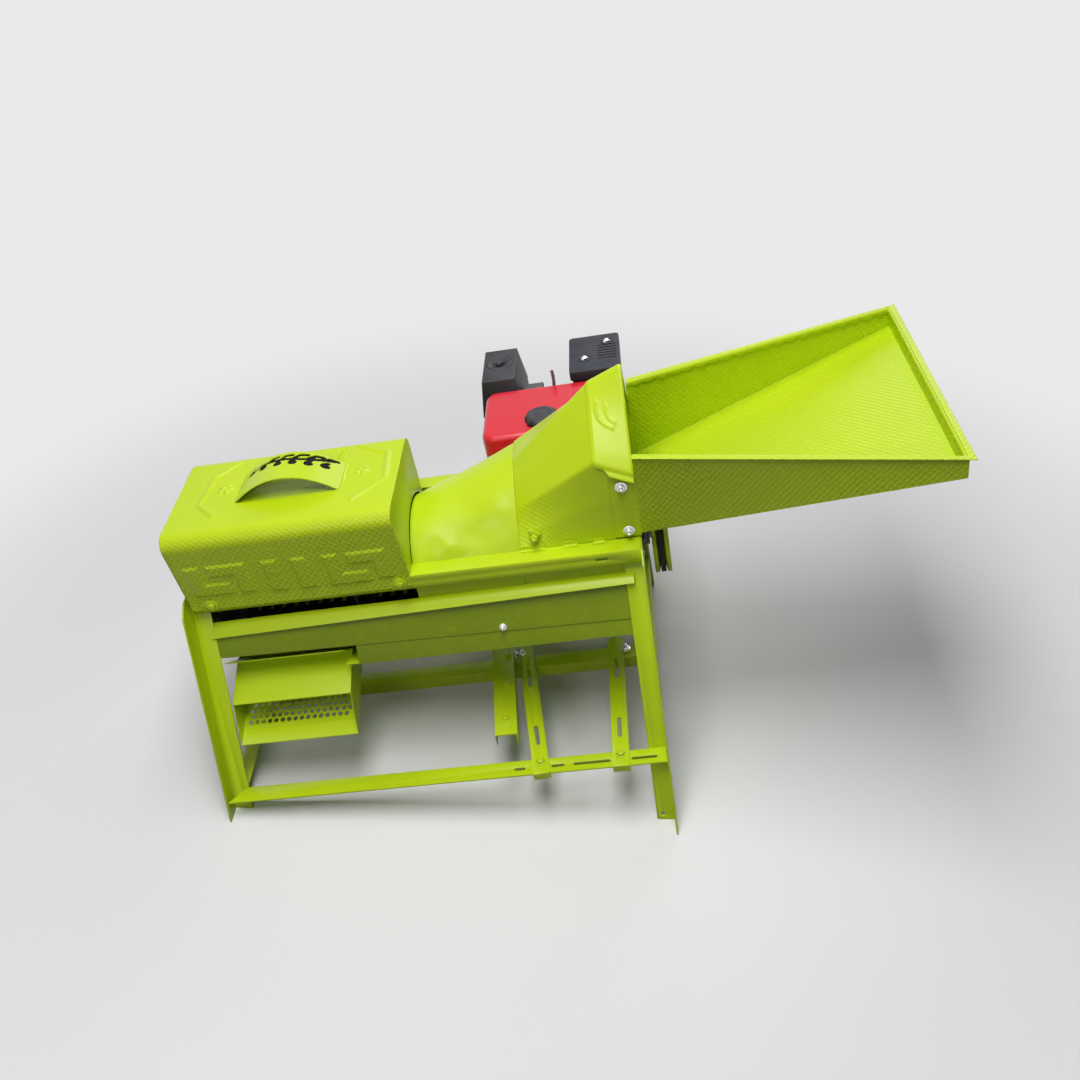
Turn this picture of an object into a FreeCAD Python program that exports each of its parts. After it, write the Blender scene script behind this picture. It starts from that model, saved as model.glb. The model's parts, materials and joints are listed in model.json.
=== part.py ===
import FreeCAD, Part
import os
from math import atan2, cos, degrees, pi, radians, sin, sqrt, tan

# Threshing machine for corn: an angle-iron stand whose legs splay to the front and rear, a drum
# across its length, a cover over the cob end, a hood and a feed tray at the other end, a pan and a
# chute for the kernels, and a petrol engine on a bracket behind the stand, joined by a belt.
# Body frame while it is modelled: X along the stand from the cob end to the feed end, Y from front
# to rear, Z up, with Z = 0 at the top of the bottom rails. At the end the whole machine is tilted
# on its uneven feet and moved so that the middle of its underside is the origin.

# Stand
machine_length = 860.0
rail_height = 372.5
deck_depth = 319.0
angle_sheet = 3.0
leg_splay = 24.13
leg_face = 36.7
fin_top = 50.0
fin_foot = 36.0
fin_round = 18.0
foot_drop_left = 36.0
foot_drop_right = 137.0
foot_hole_radius = 4.5
foot_hole_height = 13.0
foot_hole_inset = 12.0
rail_depth = 35.5
rail_drop = 29.5
rail_start = 14.0
rail_slot_length = 24.0
rail_slot_width = 7.0
rail_slot_inset = 74.0
end_web_depth = 150.0
end_flange = 14.0
low_rail_depth = 35.8
low_rail_drop = 36.0
mid_rail_ahead = 38.86
mid_rail_depth = 36.0
mid_rail_drop = 27.0
side_rail_width = 30.0

# Slots in the bottom front rail: start and end along the machine, as shares of its length
low_slot_shares = ((0.660, 0.685), (0.743, 0.772), (0.792, 0.874), (0.919, 0.976))
low_slot_width = 6.5
low_slot_inset = 20.0

# Slotted bars that lie on the bottom rails
bar_width = 32.0
bar_sheet = 4.0
bar_overhang = 12.0
bar_fold = 11.0
bar_slot_width = 8.0
bar_left_front_share = 0.7233
bar_left_rear_share = 0.6756
bar_right_share = 0.8971
bar_slot_shares = ((0.155, 0.310), (0.655, 0.785))
bar_bolt_share = 0.925

# Channel that reaches forward from under the pan
channel_width = 44.0
channel_height = 30.0
channel_front = 43.0
channel_skew = 20.0
channel_start_share = 0.6198
channel_sheet = 2.5

# Drum
drum_drop = 70.5
casing_radius = 126.0
casing_sheet = 2.0
casing_start_share = 0.50814
concave_slot_width = 9.0
concave_pitch = 26.0
concave_turns = (-120, -90, -60)
concave_half_turn = 10
rotor_tube_radius = 38.0
rotor_tip_radius = 106.0
rotor_bar_height = 26.0
rotor_bar_sheet = 8.0
rotor_disc_sheet = 5.0
rotor_end_gap = 14.0
rotor_disc_shares = (0.0, 0.34, 0.68, 1.0)
beater_turns = (45, 135, 225, 315)
shaft_radius = 12.5
shaft_fit = 0.04
running_gap = 0.4
bearing_radius = 40.0
bearing_width = 15.0
bearing_neck_share = 0.6
drum_pulley_radius = 80.0
engine_pulley_radius = 34.0
pulley_width = 31.0
pulley_gap = 17.0
groove_depth = 12.0
groove_mouth = 16.0
groove_floor = 10.0
belt_gap = 0.4
spoke_hole_radius = 17.0
spoke_holes = 5

# Section of the casing where the hood starts: angle and share of the casing radius
arch_shares = ((168, 1.0), (157, 0.93), (146, 0.90), (135, 0.93), (122, 1.00), (108, 1.12), (95, 1.27),
               (82, 1.42), (70, 1.52), (58, 1.62), (47, 1.56), (36, 1.38), (24, 1.22), (12, 1.12))
trough_turns = (0, -15, -30, -45, -60, -75, -90, -105, -120, -135, -150, -165, -180)

# Cover over the cob end
cover_sheet = 2.0
cover_height = 151.0
cover_width = 250.0
cover_lean = 14.0
cover_bend = 20.0
cover_skirt = 25.5
cover_back_drop = 108.0
cover_window_start = 50.0
cover_window_width = 150.0
cover_window_height = 90.0
notch_gap = 4.5
handle_start_share = 0.284
handle_end_share = 0.752
handle_inset = 82.6
handle_width = 86.0
handle_rise = 40.0
handle_reach = 38.0
handle_steps = 12

# Hood over the feed end: height of each corner of its three sections, front to rear
hood_sheet = 2.0
hood_start_share = 0.744186
hood_shoulder_share = 0.6982
hood_overhang = 2.0
hood_start_height = 112.0
hood_shoulder_height = 254.0
hood_end_height = 284.0
hood_start_shares = ((0.0, 0.0), (0.07, 0.18), (0.19, 0.51), (0.38, 0.83), (0.52, 1.0), (0.80, 1.0),
                     (0.94, 0.62), (1.0, 0.0))
hood_shoulder_shares = ((0.0, 0.0), (0.0, 0.32), (0.02, 0.65), (0.25, 0.82), (0.50, 1.0), (0.73, 0.84),
                        (0.98, 0.65), (1.0, 0.0))
hood_end_shares = ((0.0, 0.0), (-0.02, 0.29), (-0.03, 0.49), (0.23, 0.73), (0.50, 1.0), (0.77, 0.73),
                   (1.03, 0.49), (1.0, 0.0))

# Feed tray
tray_sheet = 2.0
tray_length = 528.0
tray_throat_width = 275.0
tray_mouth_width = 547.0
tray_throat_rim = 176.5
tray_mouth_rim = 183.5
tray_throat_floor = 11.0
tray_mouth_floor = 145.5
tray_rim = 9.0

# Panels and pan for the kernels, each drop counted from the top of the rails
panel_sheet = 2.0
panel_top_drop_left = 90.5
panel_top_drop_right = 71.5
panel_foot_drop_left = 129.5
panel_foot_drop_right = 140.5
panel_lip_rise_left = 22.0
panel_lip_rise_right = 9.0
lower_gap = 26.0
lower_top_drop = 118.5
lower_foot_drop = 169.5
pan_valley_drop = 222.5
pan_valley_inset = 63.14

# Kernel chute
chute_start = 41.0
chute_width = 235.0
chute_mouth_top_drop = 214.5
chute_mouth_foot_drop = 292.5
chute_roof_depth = 88.2
chute_roof_rise = 36.0
chute_sheet = 1.5
chute_lip = 32.0
screen_hole_radius = 4.6
screen_pitch = 13.0
screen_rows = 4

# Engine: envelope and place
engine_end_gap = 8.0
engine_overlap = 10.36
engine_base = 125.0
engine_width = 309.0
engine_depth = 365.0
engine_height = 335.0
crank_depth_share = 0.438
crank_height = 106.0
cylinder_tilt = 25.0
mount_inset = 11.0
mount_pitch_short = 75.5
mount_hole_radius = 4.5
bracket_sheet = 3.0
bracket_margin = 9.0
engine_rail_flange = 36.0
engine_rail_drop = 33.0
engine_low_rail_height = 20.0

# Engine pieces: ranges along X, Y and Z, as shares of the envelope
feet_shares = ((0.31, 0.86), (0.185, 0.70), (0.0, 0.04))
crankcase_shares = ((0.31, 0.90), (0.25, 0.62), (0.04, 0.50))
tank_seat_shares = ((0.42, 0.82), (0.30, 0.50), (0.50, 0.62))
shroud_shares = ((0.14, 0.31), (0.17, 0.78), (0.04, 0.62))
recoil_shares = (0.05, 0.14)
recoil_radius = 92.0
recoil_slots = 10
recoil_slot_shares = (0.3, 0.7)
recoil_handle_length = 58.0
recoil_handle_radius = 7.0
recoil_handle_height = 62.0
tank_shares = ((0.06, 0.88), (0.035, 0.55), (0.62, 0.95))
tank_round = 26.0
cap_place_shares = (0.46, 0.159)
cap_radius = 35.0
cap_height = 17.0
cap_lobes = 10
cap_lobe_radius = 5.0
filter_base_shares = ((0.03, 0.30), (0.57, 0.98), (0.62, 0.76))
filter_cover_shares = ((0.0, 0.30), (0.56, 1.0), (0.76, 1.0))
filter_cover_draft_share = 0.035
filter_dish_radius = 29.0
filter_dish_depth = 5.0
filter_knob_shares = (0.145, 0.80)
knob_radius = 7.0
knob_height = 9.0
knob_wing = 14.0
knob_sheet = 4.0
carburettor_shares = ((0.30, 0.44), (0.60, 0.74), (0.70, 0.86))
muffler_shares = ((0.66, 0.985), (0.575, 0.975), (0.70, 0.94))
muffler_stub_shares = ((0.70, 0.78), (0.70, 0.80), (0.55, 0.70))
muffler_cover_shares = ((0.645, 1.0), (0.56, 0.99), (0.94, 1.0))
louvre_width = 3.5
louvre_count = 6
louvre_across_shares = (0.56, 0.93)
louvre_along_shares = (0.30, 0.75)
cylinder_shares = (0.40, 0.86)
cylinder_start = 62.0
cylinder_length = 66.0
cylinder_half = 50.0
fin_count = 7
fin_sheet = 3.0
fin_core_share = 0.70
head_length = 32.0
valve_cover_length = 22.0
valve_cover_share = 0.72
plug_radius = 8.0
oil_plug_radius = 12.0
oil_plug_length = 16.0
lever_sheet = 3.0
lever_width = 9.0
throttle_length = 62.0
throttle_place_shares = (0.52, 0.72)
choke_length = 30.0
switch_size = 16.0
switch_height_share = 0.6
switch_gap = 0.5
edge_round = 8.0

# Bolts
bolt_radius = 4.0
bolt_fit = 0.3
bolt_head_radius = 7.5
bolt_head_height = 5.0
washer_radius = 10.0
washer_sheet = 1.5
overrun = 40.0

# Worked out from the sizes above
splay = tan(radians(leg_splay))
lean_sheet = angle_sheet / cos(radians(leg_splay))
rail_inner = splay * rail_height
front_y = rail_inner - rail_depth
rear_y = front_y + deck_depth
middle = (front_y + rear_y) / 2
mid_rail_front = middle - mid_rail_ahead
bar_rear = mid_rail_front + mid_rail_depth + bar_overhang
bar_ends = ((bar_left_front_share * machine_length, bar_left_rear_share * machine_length),
            (bar_right_share * machine_length, bar_right_share * machine_length))
channel_start = channel_start_share * machine_length
rail_under = rail_height - angle_sheet
rear_inner = rear_y - rail_depth
drum_z = rail_height - drum_drop
rotor_start = rail_start + angle_sheet + rotor_end_gap
rotor_end = machine_length - 2 * angle_sheet - rotor_end_gap
drum_y = rail_inner + sqrt(casing_radius ** 2 - (rail_under - drum_z) ** 2)
tilt = atan2(foot_drop_right - foot_drop_left, machine_length)
end_left = rail_start
end_right = machine_length - angle_sheet
end_mid_height = rail_height - end_web_depth
casing_start = casing_start_share * machine_length
hood_start = hood_start_share * machine_length
hood_end = machine_length + hood_overhang
hood_shoulder = hood_start + hood_shoulder_share * (hood_end - hood_start)
handle_front = front_y + handle_inset
handle_rear = handle_front + handle_width
panel_top_left = rail_height - panel_top_drop_left
panel_top_right = rail_height - panel_top_drop_right
panel_foot_left = rail_height - panel_foot_drop_left
panel_foot_right = rail_height - panel_foot_drop_right
lower_start = chute_start + chute_width + lower_gap
lower_top = rail_height - lower_top_drop
lower_foot = rail_height - lower_foot_drop
pan_valley = rail_height - pan_valley_drop
pan_valley_back = rail_inner + pan_valley_inset
chute_mouth_top = rail_height - chute_mouth_top_drop
chute_mouth_foot = rail_height - chute_mouth_foot_drop
chute_mouth_top_front = splay * chute_mouth_top
chute_mouth_foot_front = splay * chute_mouth_foot
chute_roof_back = chute_mouth_top_front + chute_roof_depth
chute_roof_height = chute_mouth_top + chute_roof_rise
pulley_start = machine_length + pulley_gap
pulley_end = pulley_start + pulley_width
pulley_mid = (pulley_start + pulley_end) / 2
engine_left = machine_length - engine_end_gap - engine_width
engine_front = rear_y - engine_overlap
crank_y = engine_front + crank_depth_share * engine_depth
crank_z = engine_base + crank_height


def vec(x, y, z):
    """Return a point or a direction."""
    return FreeCAD.Vector(x, y, z)


def block(x0, x1, y0, y1, z0, z1):
    """Return a box between two corners."""
    return Part.makeBox(x1 - x0, y1 - y0, z1 - z0, vec(x0, y0, z0))


def solid_of(points, direction):
    """Return the prism of a closed outline moved along a direction."""
    return Part.Face(Part.makePolygon(list(points) + [points[0]])).extrude(direction)


def along_x(outline, x0, x1):
    """Return the prism of a (y, z) outline from x0 to x1."""
    return solid_of([vec(x0, y, z) for y, z in outline], vec(x1 - x0, 0, 0))


def along_y(outline, y0, y1):
    """Return the prism of an (x, z) outline from y0 to y1."""
    return solid_of([vec(x, y0, z) for x, z in outline], vec(0, y1 - y0, 0))


def along_z(outline, z0, z1):
    """Return the prism of an (x, y) outline from z0 to z1."""
    return solid_of([vec(x, y, z0) for x, y in outline], vec(0, 0, z1 - z0))


def rod(start, end, radius):
    """Return a round bar between two points."""
    line = end - start
    return Part.makeCylinder(radius, line.Length, start, line)


def joined(shapes):
    """Return the shapes fused to one clean solid."""
    whole = shapes[0]
    for shape in shapes[1:]:
        whole = whole.fuse(shape)
    return whole.removeSplitter()


def without(shape, cutters):
    """Return the shape with every cutter taken out of it."""
    for cutter in cutters:
        shape = shape.cut(cutter)
    return shape.removeSplitter()


def mirror_rear(shape):
    """Return the shape mirrored from the front of the stand to its rear."""
    return shape.mirror(vec(0, middle, 0), vec(0, 1, 0))


def mirror_right(shape):
    """Return the shape mirrored from the cob end of the stand to its feed end."""
    return shape.mirror(vec(machine_length / 2, 0, 0), vec(1, 0, 0))


def leg_y(z):
    """Return how far back the face of a front leg lies at a height."""
    return splay * z


def rear_leg_y(z):
    """Return how far back the face of a rear leg lies at a height."""
    return 2 * middle - leg_y(z)


def ground_z(x):
    """Return the height of the ground under a place along the machine."""
    return -foot_drop_left - (foot_drop_right - foot_drop_left) * x / machine_length


def slot_up(x0, x1, y, width, z0, z1):
    """Return the cutter of a slot with round ends that lies along X."""
    radius = width / 2
    body = block(x0 + radius, x1 - radius, y - radius, y + radius, z0, z1)
    ends = [rod(vec(x, y, z0), vec(x, y, z1), radius) for x in (x0 + radius, x1 - radius)]
    return joined([body] + ends)


def hex_bolt(place, direction, grip):
    """Return a washer, a hexagon head and the shank behind them."""
    axis = vec(*direction).normalize()
    washer = Part.makeCylinder(washer_radius, washer_sheet, place, axis)
    blank = Part.makeCylinder(bolt_head_radius, bolt_head_height, place + axis * washer_sheet, axis)
    shank = Part.makeCylinder(bolt_radius, grip, place, axis * -1)
    across = bolt_head_radius * cos(pi / 6)
    wide = 2 * bolt_head_radius
    side = vec(0, 0, 1).cross(axis)
    if side.Length < sin(pi / 6):
        side = vec(1, 0, 0)
    flats = []
    for step in range(6):
        out = FreeCAD.Rotation(axis, 360 * step / 6).multVec(side)
        flat = Part.makeBox(wide, wide, wide, vec(-wide / 2, across, -wide / 2))
        flat.Placement = FreeCAD.Placement(place, FreeCAD.Rotation(vec(0, 1, 0), out))
        flats.append(flat)
    return joined([washer, without(blank, flats), shank])


# Stand


def leg_blank():
    """Return the leaning face of the front left leg before the ground cuts it."""
    low = ground_z(machine_length) - overrun
    top = rail_under
    return along_x([(leg_y(low), low), (leg_y(top), top), (leg_y(top) + lean_sheet, top),
                    (leg_y(low) + lean_sheet, low)], 0, leg_face)


def leg_fin(foot):
    """Return the forward fin of a front left leg that stands at a foot height."""
    top = rail_under
    shoulder = top - fin_round
    outline = [(leg_y(foot) - fin_foot, foot), (leg_y(shoulder) - fin_top, shoulder),
               (leg_y(top) - fin_top + fin_round, top), (leg_y(top), top), (leg_y(foot), foot)]
    low = [(leg_y(foot - overrun), foot - overrun), (leg_y(foot - overrun) - fin_foot, foot - overrun)]
    return along_x(outline + low, 0, angle_sheet)


def ground_block():
    """Return the ground under the machine, to cut the feet level with it."""
    reach = 3 * machine_length
    slab = Part.makeBox(reach, reach, reach, vec(-reach / 3, -reach / 3, -reach))
    slab.rotate(vec(0, 0, 0), vec(0, 1, 0), degrees(tilt))
    slab.translate(vec(0, 0, -foot_drop_left))
    return slab


def make_leg(foot_drop):
    """Return a front left leg whose foot is cut by the ground."""
    leg = joined([leg_blank(), leg_fin(-foot_drop)])
    low = foot_hole_height - foot_drop
    hole = rod(vec(leg_face - foot_hole_inset, leg_y(low) - overrun, low),
               vec(leg_face - foot_hole_inset, leg_y(low) + overrun, low), foot_hole_radius)
    return leg.cut(hole)


def make_legs():
    """Return the four legs by name."""
    ground = ground_block()
    left = make_leg(foot_drop_left)
    right = mirror_right(make_leg(foot_drop_right))
    legs = {"front_left_leg": left, "front_right_leg": right,
            "rear_left_leg": mirror_rear(left), "rear_right_leg": mirror_rear(right)}
    return {name: leg.cut(ground).removeSplitter() for name, leg in legs.items()}


def make_top_rail():
    """Return the front top rail: an angle with a slot near its feed end."""
    top = block(end_left, end_right, front_y, rail_inner, rail_under, rail_height)
    face = block(end_left, end_right, front_y, front_y + angle_sheet, rail_height - rail_drop, rail_height)
    x = machine_length - rail_slot_inset
    height = rail_height - rail_drop / 2
    radius = rail_slot_width / 2
    half = rail_slot_length / 2 - radius
    slot = joined([block(x - half, x + half, front_y - overrun, rail_inner, height - radius, height + radius)]
                  + [rod(vec(at, front_y - overrun, height), vec(at, rail_inner, height), radius)
                     for at in (x - half, x + half)])
    return without(joined([top, face]), [slot] + cover_bolt_holes())


def make_end_rail():
    """Return the cob end's cross rail: a deep web that carries a bearing, and a flange."""
    low = end_mid_height
    top = rail_under
    web = along_x([(leg_y(low) + lean_sheet, low), (rear_leg_y(low) - lean_sheet, low),
                   (rear_leg_y(top) - lean_sheet, top), (leg_y(top) + lean_sheet, top)],
                  end_left, end_left + angle_sheet)
    flange = block(end_left, end_left + end_flange, rail_inner + lean_sheet, rear_inner - lean_sheet, rail_under,
                   rail_height)
    bore = rod(vec(0, drum_y, drum_z), vec(2 * end_flange, drum_y, drum_z), shaft_radius + 2 * angle_sheet)
    return without(joined([web, flange]), [bore])


def make_end_rail_right():
    """Return the feed end's cross rail, with its web against the ends of the side rails."""
    low = end_mid_height
    top = rail_under
    web = along_x([(leg_y(low) + lean_sheet, low), (rear_leg_y(low) - lean_sheet, low),
                   (rear_leg_y(top) - lean_sheet, top), (leg_y(top) + lean_sheet, top)],
                  end_right - angle_sheet, end_right)
    lip = block(end_right - angle_sheet, end_right, rail_inner + lean_sheet, rear_inner - lean_sheet, rail_under,
                rail_height)
    bore = rod(vec(end_right - end_flange, drum_y, drum_z), vec(end_right + end_flange, drum_y, drum_z),
               shaft_radius + 2 * angle_sheet)
    return without(joined([web, lip]), [bore])


def make_low_rail(legs):
    """Return the bottom front rail: a mitred flange in front of the legs and a web behind it."""
    flange = along_z([(angle_sheet, -low_rail_depth), (end_right, -low_rail_depth), (end_right, 0),
                      (leg_face, 0)], -angle_sheet, 0)
    web = block(leg_face, machine_length - leg_face, -angle_sheet, 0, -low_rail_drop, 0)
    rail = without(joined([flange, web]), legs)
    for start, end in low_slot_shares:
        cutter = slot_up(start * machine_length, end * machine_length, -low_slot_inset, low_slot_width,
                         -overrun, overrun)
        rail = rail.cut(cutter)
    for front, rear in bar_ends:
        x, y = bar_place(front, rear, bar_bolt_share)
        rail = rail.cut(rod(vec(x, y, -overrun), vec(x, y, overrun), bolt_radius))
    return rail


def make_mid_rail():
    """Return the middle bottom rail: its flange lies on the side rails, its web faces forward."""
    start, end = angle_sheet, end_right
    flange = block(start, end, mid_rail_front, mid_rail_front + mid_rail_depth, -angle_sheet, 0)
    inner = 2 * angle_sheet + side_rail_width
    web = block(inner, machine_length - inner, mid_rail_front, mid_rail_front + angle_sheet, -mid_rail_drop, 0)
    return joined([flange, web])


def make_side_rail(legs):
    """Return the cob end's side rail, an angle that ties a front leg to a rear leg."""
    low = -2 * angle_sheet
    flange = block(angle_sheet, angle_sheet + side_rail_width, 0, 2 * middle, low, -angle_sheet)
    web = block(angle_sheet, 2 * angle_sheet, 0, 2 * middle, -low_rail_drop, low)
    rail = without(joined([flange, web]), legs)
    return largest(rail)


def largest(shape):
    """Return the largest solid of a shape that a cut has split."""
    return max(shape.Solids, key=lambda solid: solid.Volume)


def bar_place(front, rear, share):
    """Return the (x, y) place on the middle line of a slotted bar, counted from its rear end."""
    tip = -low_rail_depth
    return rear + (front - rear) * share, bar_rear + (tip - bar_rear) * share


def make_bar(front, rear):
    """Return a slotted bar with a round rear end and a fold over the front rail."""
    tip = -low_rail_depth - bar_sheet
    run = vec(front - rear, tip - bar_rear, 0)
    side = vec(run.y, -run.x, 0).normalize() * (bar_width / 2)
    start = vec(rear, bar_rear, 0)
    end = vec(front, tip, 0)
    body = solid_of([start + side, end + side, end - side, start - side], vec(0, 0, bar_sheet))
    round_end = rod(start, start + vec(0, 0, bar_sheet), bar_width / 2)
    inner = end - vec(run.x, run.y, 0).normalize() * bar_sheet
    fold = solid_of([inner + side, end + side, end - side, inner - side], vec(0, 0, -bar_fold))
    rail_edge = block(0, machine_length, -low_rail_depth, 0, -low_rail_drop, 0)
    bar = joined([body, round_end, fold.cut(rail_edge)])
    for first, last in bar_slot_shares:
        a = vec(*bar_place(front, rear, first), 0)
        b = vec(*bar_place(front, rear, last), 0)
        across = side.normalize() * (bar_slot_width / 2)
        lift = vec(0, 0, overrun)
        cutter = joined([solid_of([a + across - lift, b + across - lift, b - across - lift, a - across - lift],
                                  lift * 2), rod(a - lift, a + lift, bar_slot_width / 2),
                         rod(b - lift, b + lift, bar_slot_width / 2)])
        bar = bar.cut(cutter)
    x, y = bar_place(front, rear, bar_bolt_share)
    return bar.cut(rod(vec(x, y, -overrun), vec(x, y, overrun), bolt_radius)).removeSplitter()


def make_channel():
    """Return the skewed channel that lies on the middle rail and reaches forward."""
    near = [(channel_start, channel_front), (channel_start + channel_width, channel_front),
            (channel_start + channel_width - channel_skew, bar_rear), (channel_start - channel_skew, bar_rear)]
    thick = channel_sheet
    inner = [(near[0][0] + thick, channel_front - overrun), (near[1][0] - thick, channel_front - overrun),
             (near[2][0] - thick, bar_rear + overrun), (near[3][0] + thick, bar_rear + overrun)]
    outer = along_z(near, 0, channel_height)
    return outer.cut(along_z(inner, -overrun, channel_height - thick)).removeSplitter()


def make_engine_rail(height, legs):
    """Return a rail across the rear legs, whose flange carries the engine's bracket."""
    under = height - angle_sheet
    low = height - engine_rail_drop
    web = along_x([(rear_leg_y(under), under), (rear_leg_y(low), low), (rear_leg_y(low) + lean_sheet, low),
                   (rear_leg_y(under) + lean_sheet, under)], angle_sheet, end_right)
    back = rear_leg_y(under)
    flange = block(angle_sheet, end_right, back, back + engine_rail_flange, under, height)
    return without(joined([web, flange]), legs)


def make_engine_bracket():
    """Return the folded plate under the engine, with a gusset at each end."""
    (x0, x1), (y0, y1), _ = engine_spans(feet_shares)
    top = engine_base
    under = top - bracket_sheet
    back = rear_leg_y(under - angle_sheet)
    left, right = x0 - bracket_margin, x1 + bracket_margin
    plate = block(left, right, y0, y1, under, top)
    clear = back + engine_rail_flange + angle_sheet
    low = engine_low_rail_height
    rest = rear_leg_y(low - angle_sheet)
    outline = [(clear, under), (y1, under), (rest + engine_rail_flange, low), (clear + angle_sheet, low)]
    gussets = [along_x(outline, start, start + bracket_sheet) for start in (left, right - bracket_sheet)]
    return without(joined([plate] + gussets), engine_bolt_holes())


def engine_bolt_places():
    """Return the four (x, y) places of the engine's base bolts."""
    (x0, x1), (y0, y1), _ = engine_spans(feet_shares)
    mid = (x0 + x1) / 2
    columns = (mid - mount_pitch_short / 2, mid + mount_pitch_short / 2)
    return [(x, y) for x in columns for y in (y0 + mount_inset, y1 - mount_inset)]


def engine_bolt_holes():
    """Return the cutters of the engine's base bolt holes."""
    return [rod(vec(x, y, engine_base - overrun), vec(x, y, engine_base + overrun), mount_hole_radius)
            for x, y in engine_bolt_places()]


def make_frame_bolts():
    """Return the bolts through the slotted bars, the engine's feet and the lower panel."""
    bolts = []
    for front, rear in bar_ends:
        x, y = bar_place(front, rear, bar_bolt_share)
        bolts.append(hex_bolt(vec(x, y, bar_sheet), (0, 0, 1), 3 * bar_sheet))
    feet_top = engine_spans(feet_shares)[2][1]
    for x, y in engine_bolt_places():
        bolts.append(hex_bolt(vec(x, y, feet_top), (0, 0, 1), feet_top - engine_base + 2 * bracket_sheet))
    return Part.makeCompound(bolts)


# Drum


def arch_ring(thick):
    """Return the (y, z) corners of the casing's section where the hood starts."""
    corners = []
    for angle, share in arch_shares + tuple((angle, 1) for angle in trough_turns):
        turn = radians(angle)
        radius = casing_radius * share - thick
        corners.append((drum_y + radius * cos(turn), drum_z + radius * sin(turn)))
    return corners


def round_ring(thick):
    """Return the (y, z) corners of the casing's round end, one for each corner of the arch."""
    turns = [radians(corner[0]) for corner in arch_shares] + [radians(angle) for angle in trough_turns]
    radius = casing_radius - thick
    return [(drum_y + radius * cos(turn), drum_z + radius * sin(turn)) for turn in turns]


def loft(rings):
    """Return the solid through closed outlines, each given as its X and its (y, z) corners."""
    wires = []
    for x, corners in rings:
        points = [vec(x, y, z) for y, z in corners]
        wires.append(Part.makePolygon(points + [points[0]]))
    return Part.makeLoft(wires, True, True)


def make_casing():
    """Return the drum's casing: round beside the cover, flared up to the hood, then a trough."""
    outer = loft([(casing_start, round_ring(0)), (hood_start, arch_ring(0))])
    inner = loft([(casing_start, round_ring(casing_sheet)), (hood_start, arch_ring(casing_sheet))])
    drum = outer.cut(inner)
    end = end_right - angle_sheet
    trough = rod(vec(hood_start, drum_y, drum_z), vec(end, drum_y, drum_z), casing_radius)
    bore = rod(vec(hood_start, drum_y, drum_z), vec(end, drum_y, drum_z), casing_radius - casing_sheet)
    reach = 2 * casing_radius
    top = block(hood_start, end, drum_y - reach, drum_y + reach, rail_under, drum_z + reach)
    return joined([drum, without(trough, [bore, top])])


def make_concave():
    """Return the slotted lower half tube that the kernels fall through."""
    start, end = end_left + angle_sheet, casing_start
    tube = rod(vec(start, drum_y, drum_z), vec(end, drum_y, drum_z), casing_radius)
    bore = rod(vec(start, drum_y, drum_z), vec(end, drum_y, drum_z), casing_radius - casing_sheet)
    reach = 2 * casing_radius
    top = block(start, end, drum_y - reach, drum_y + reach, drum_z, drum_z + reach)
    grate = without(tube, [bore, top])
    count = int((end - start) / concave_pitch) - 1
    for step in range(count):
        x = start + (step + 1) * concave_pitch
        for turn in concave_turns:
            out = vec(0, cos(radians(turn)), sin(radians(turn)))
            hub = vec(x, drum_y, drum_z)
            side = vec(0, -out.z, out.y) * (casing_radius * sin(radians(concave_half_turn)))
            wide = vec(concave_slot_width, 0, 0)
            start_point = hub + out * (casing_radius / 2)
            grate = grate.cut(solid_of([start_point - side, start_point - side + wide, start_point + side + wide,
                                        start_point + side], out * casing_radius))
    return grate.removeSplitter()


def beater_places():
    """Return the four beater bars, each a flat bar along the drum at the same distance from its axis."""
    bars = []
    outer = drum_y + rotor_tip_radius
    for turn in beater_turns:
        bar = block(rotor_start, rotor_end, outer - rotor_bar_height, outer, drum_z - rotor_bar_sheet / 2,
                    drum_z + rotor_bar_sheet / 2)
        bar.rotate(vec(0, drum_y, drum_z), vec(1, 0, 0), turn)
        bars.append(bar)
    return bars


def make_rotor(bars):
    """Return the rotor's tube and its notched discs, as one solid each."""
    hub = vec(rotor_start, drum_y, drum_z)
    tip = vec(rotor_end, drum_y, drum_z)
    tube = rod(hub, tip, rotor_tube_radius).cut(rod(hub, tip, shaft_radius))
    discs = []
    for share in rotor_disc_shares:
        x = rotor_start + (rotor_end - rotor_start - rotor_disc_sheet) * share
        disc = rod(vec(x, drum_y, drum_z), vec(x + rotor_disc_sheet, drum_y, drum_z),
                   rotor_tip_radius - rotor_bar_height / 2)
        discs.append(without(disc, [rod(hub, tip, rotor_tube_radius)] + bars))
    return Part.makeCompound([tube] + discs)


def make_shaft():
    """Return the drum's shaft from its cob end bearing to the pulley."""
    return rod(vec(end_left - bearing_width, drum_y, drum_z), vec(pulley_end, drum_y, drum_z), shaft_radius)


def make_bearing(start, end):
    """Return a flange bearing between two places along the shaft."""
    body = rod(vec(start, drum_y, drum_z), vec(end, drum_y, drum_z), bearing_radius * bearing_neck_share)
    face = start if start > machine_length / 2 else end
    away = 1 if start > machine_length / 2 else -1
    sheet = away * 2 * angle_sheet
    ears = [(drum_y - bearing_radius, drum_z + side * bearing_radius / 3) for side in (-1, 1)]
    ears += [(drum_y + bearing_radius, drum_z + side * bearing_radius / 3) for side in (1, -1)]
    flange = along_x(ears, face, face + sheet)
    bore = rod(vec(start - overrun, drum_y, drum_z), vec(end + overrun, drum_y, drum_z), shaft_radius + shaft_fit)
    return joined([body, flange]).cut(bore).removeSplitter()


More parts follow.
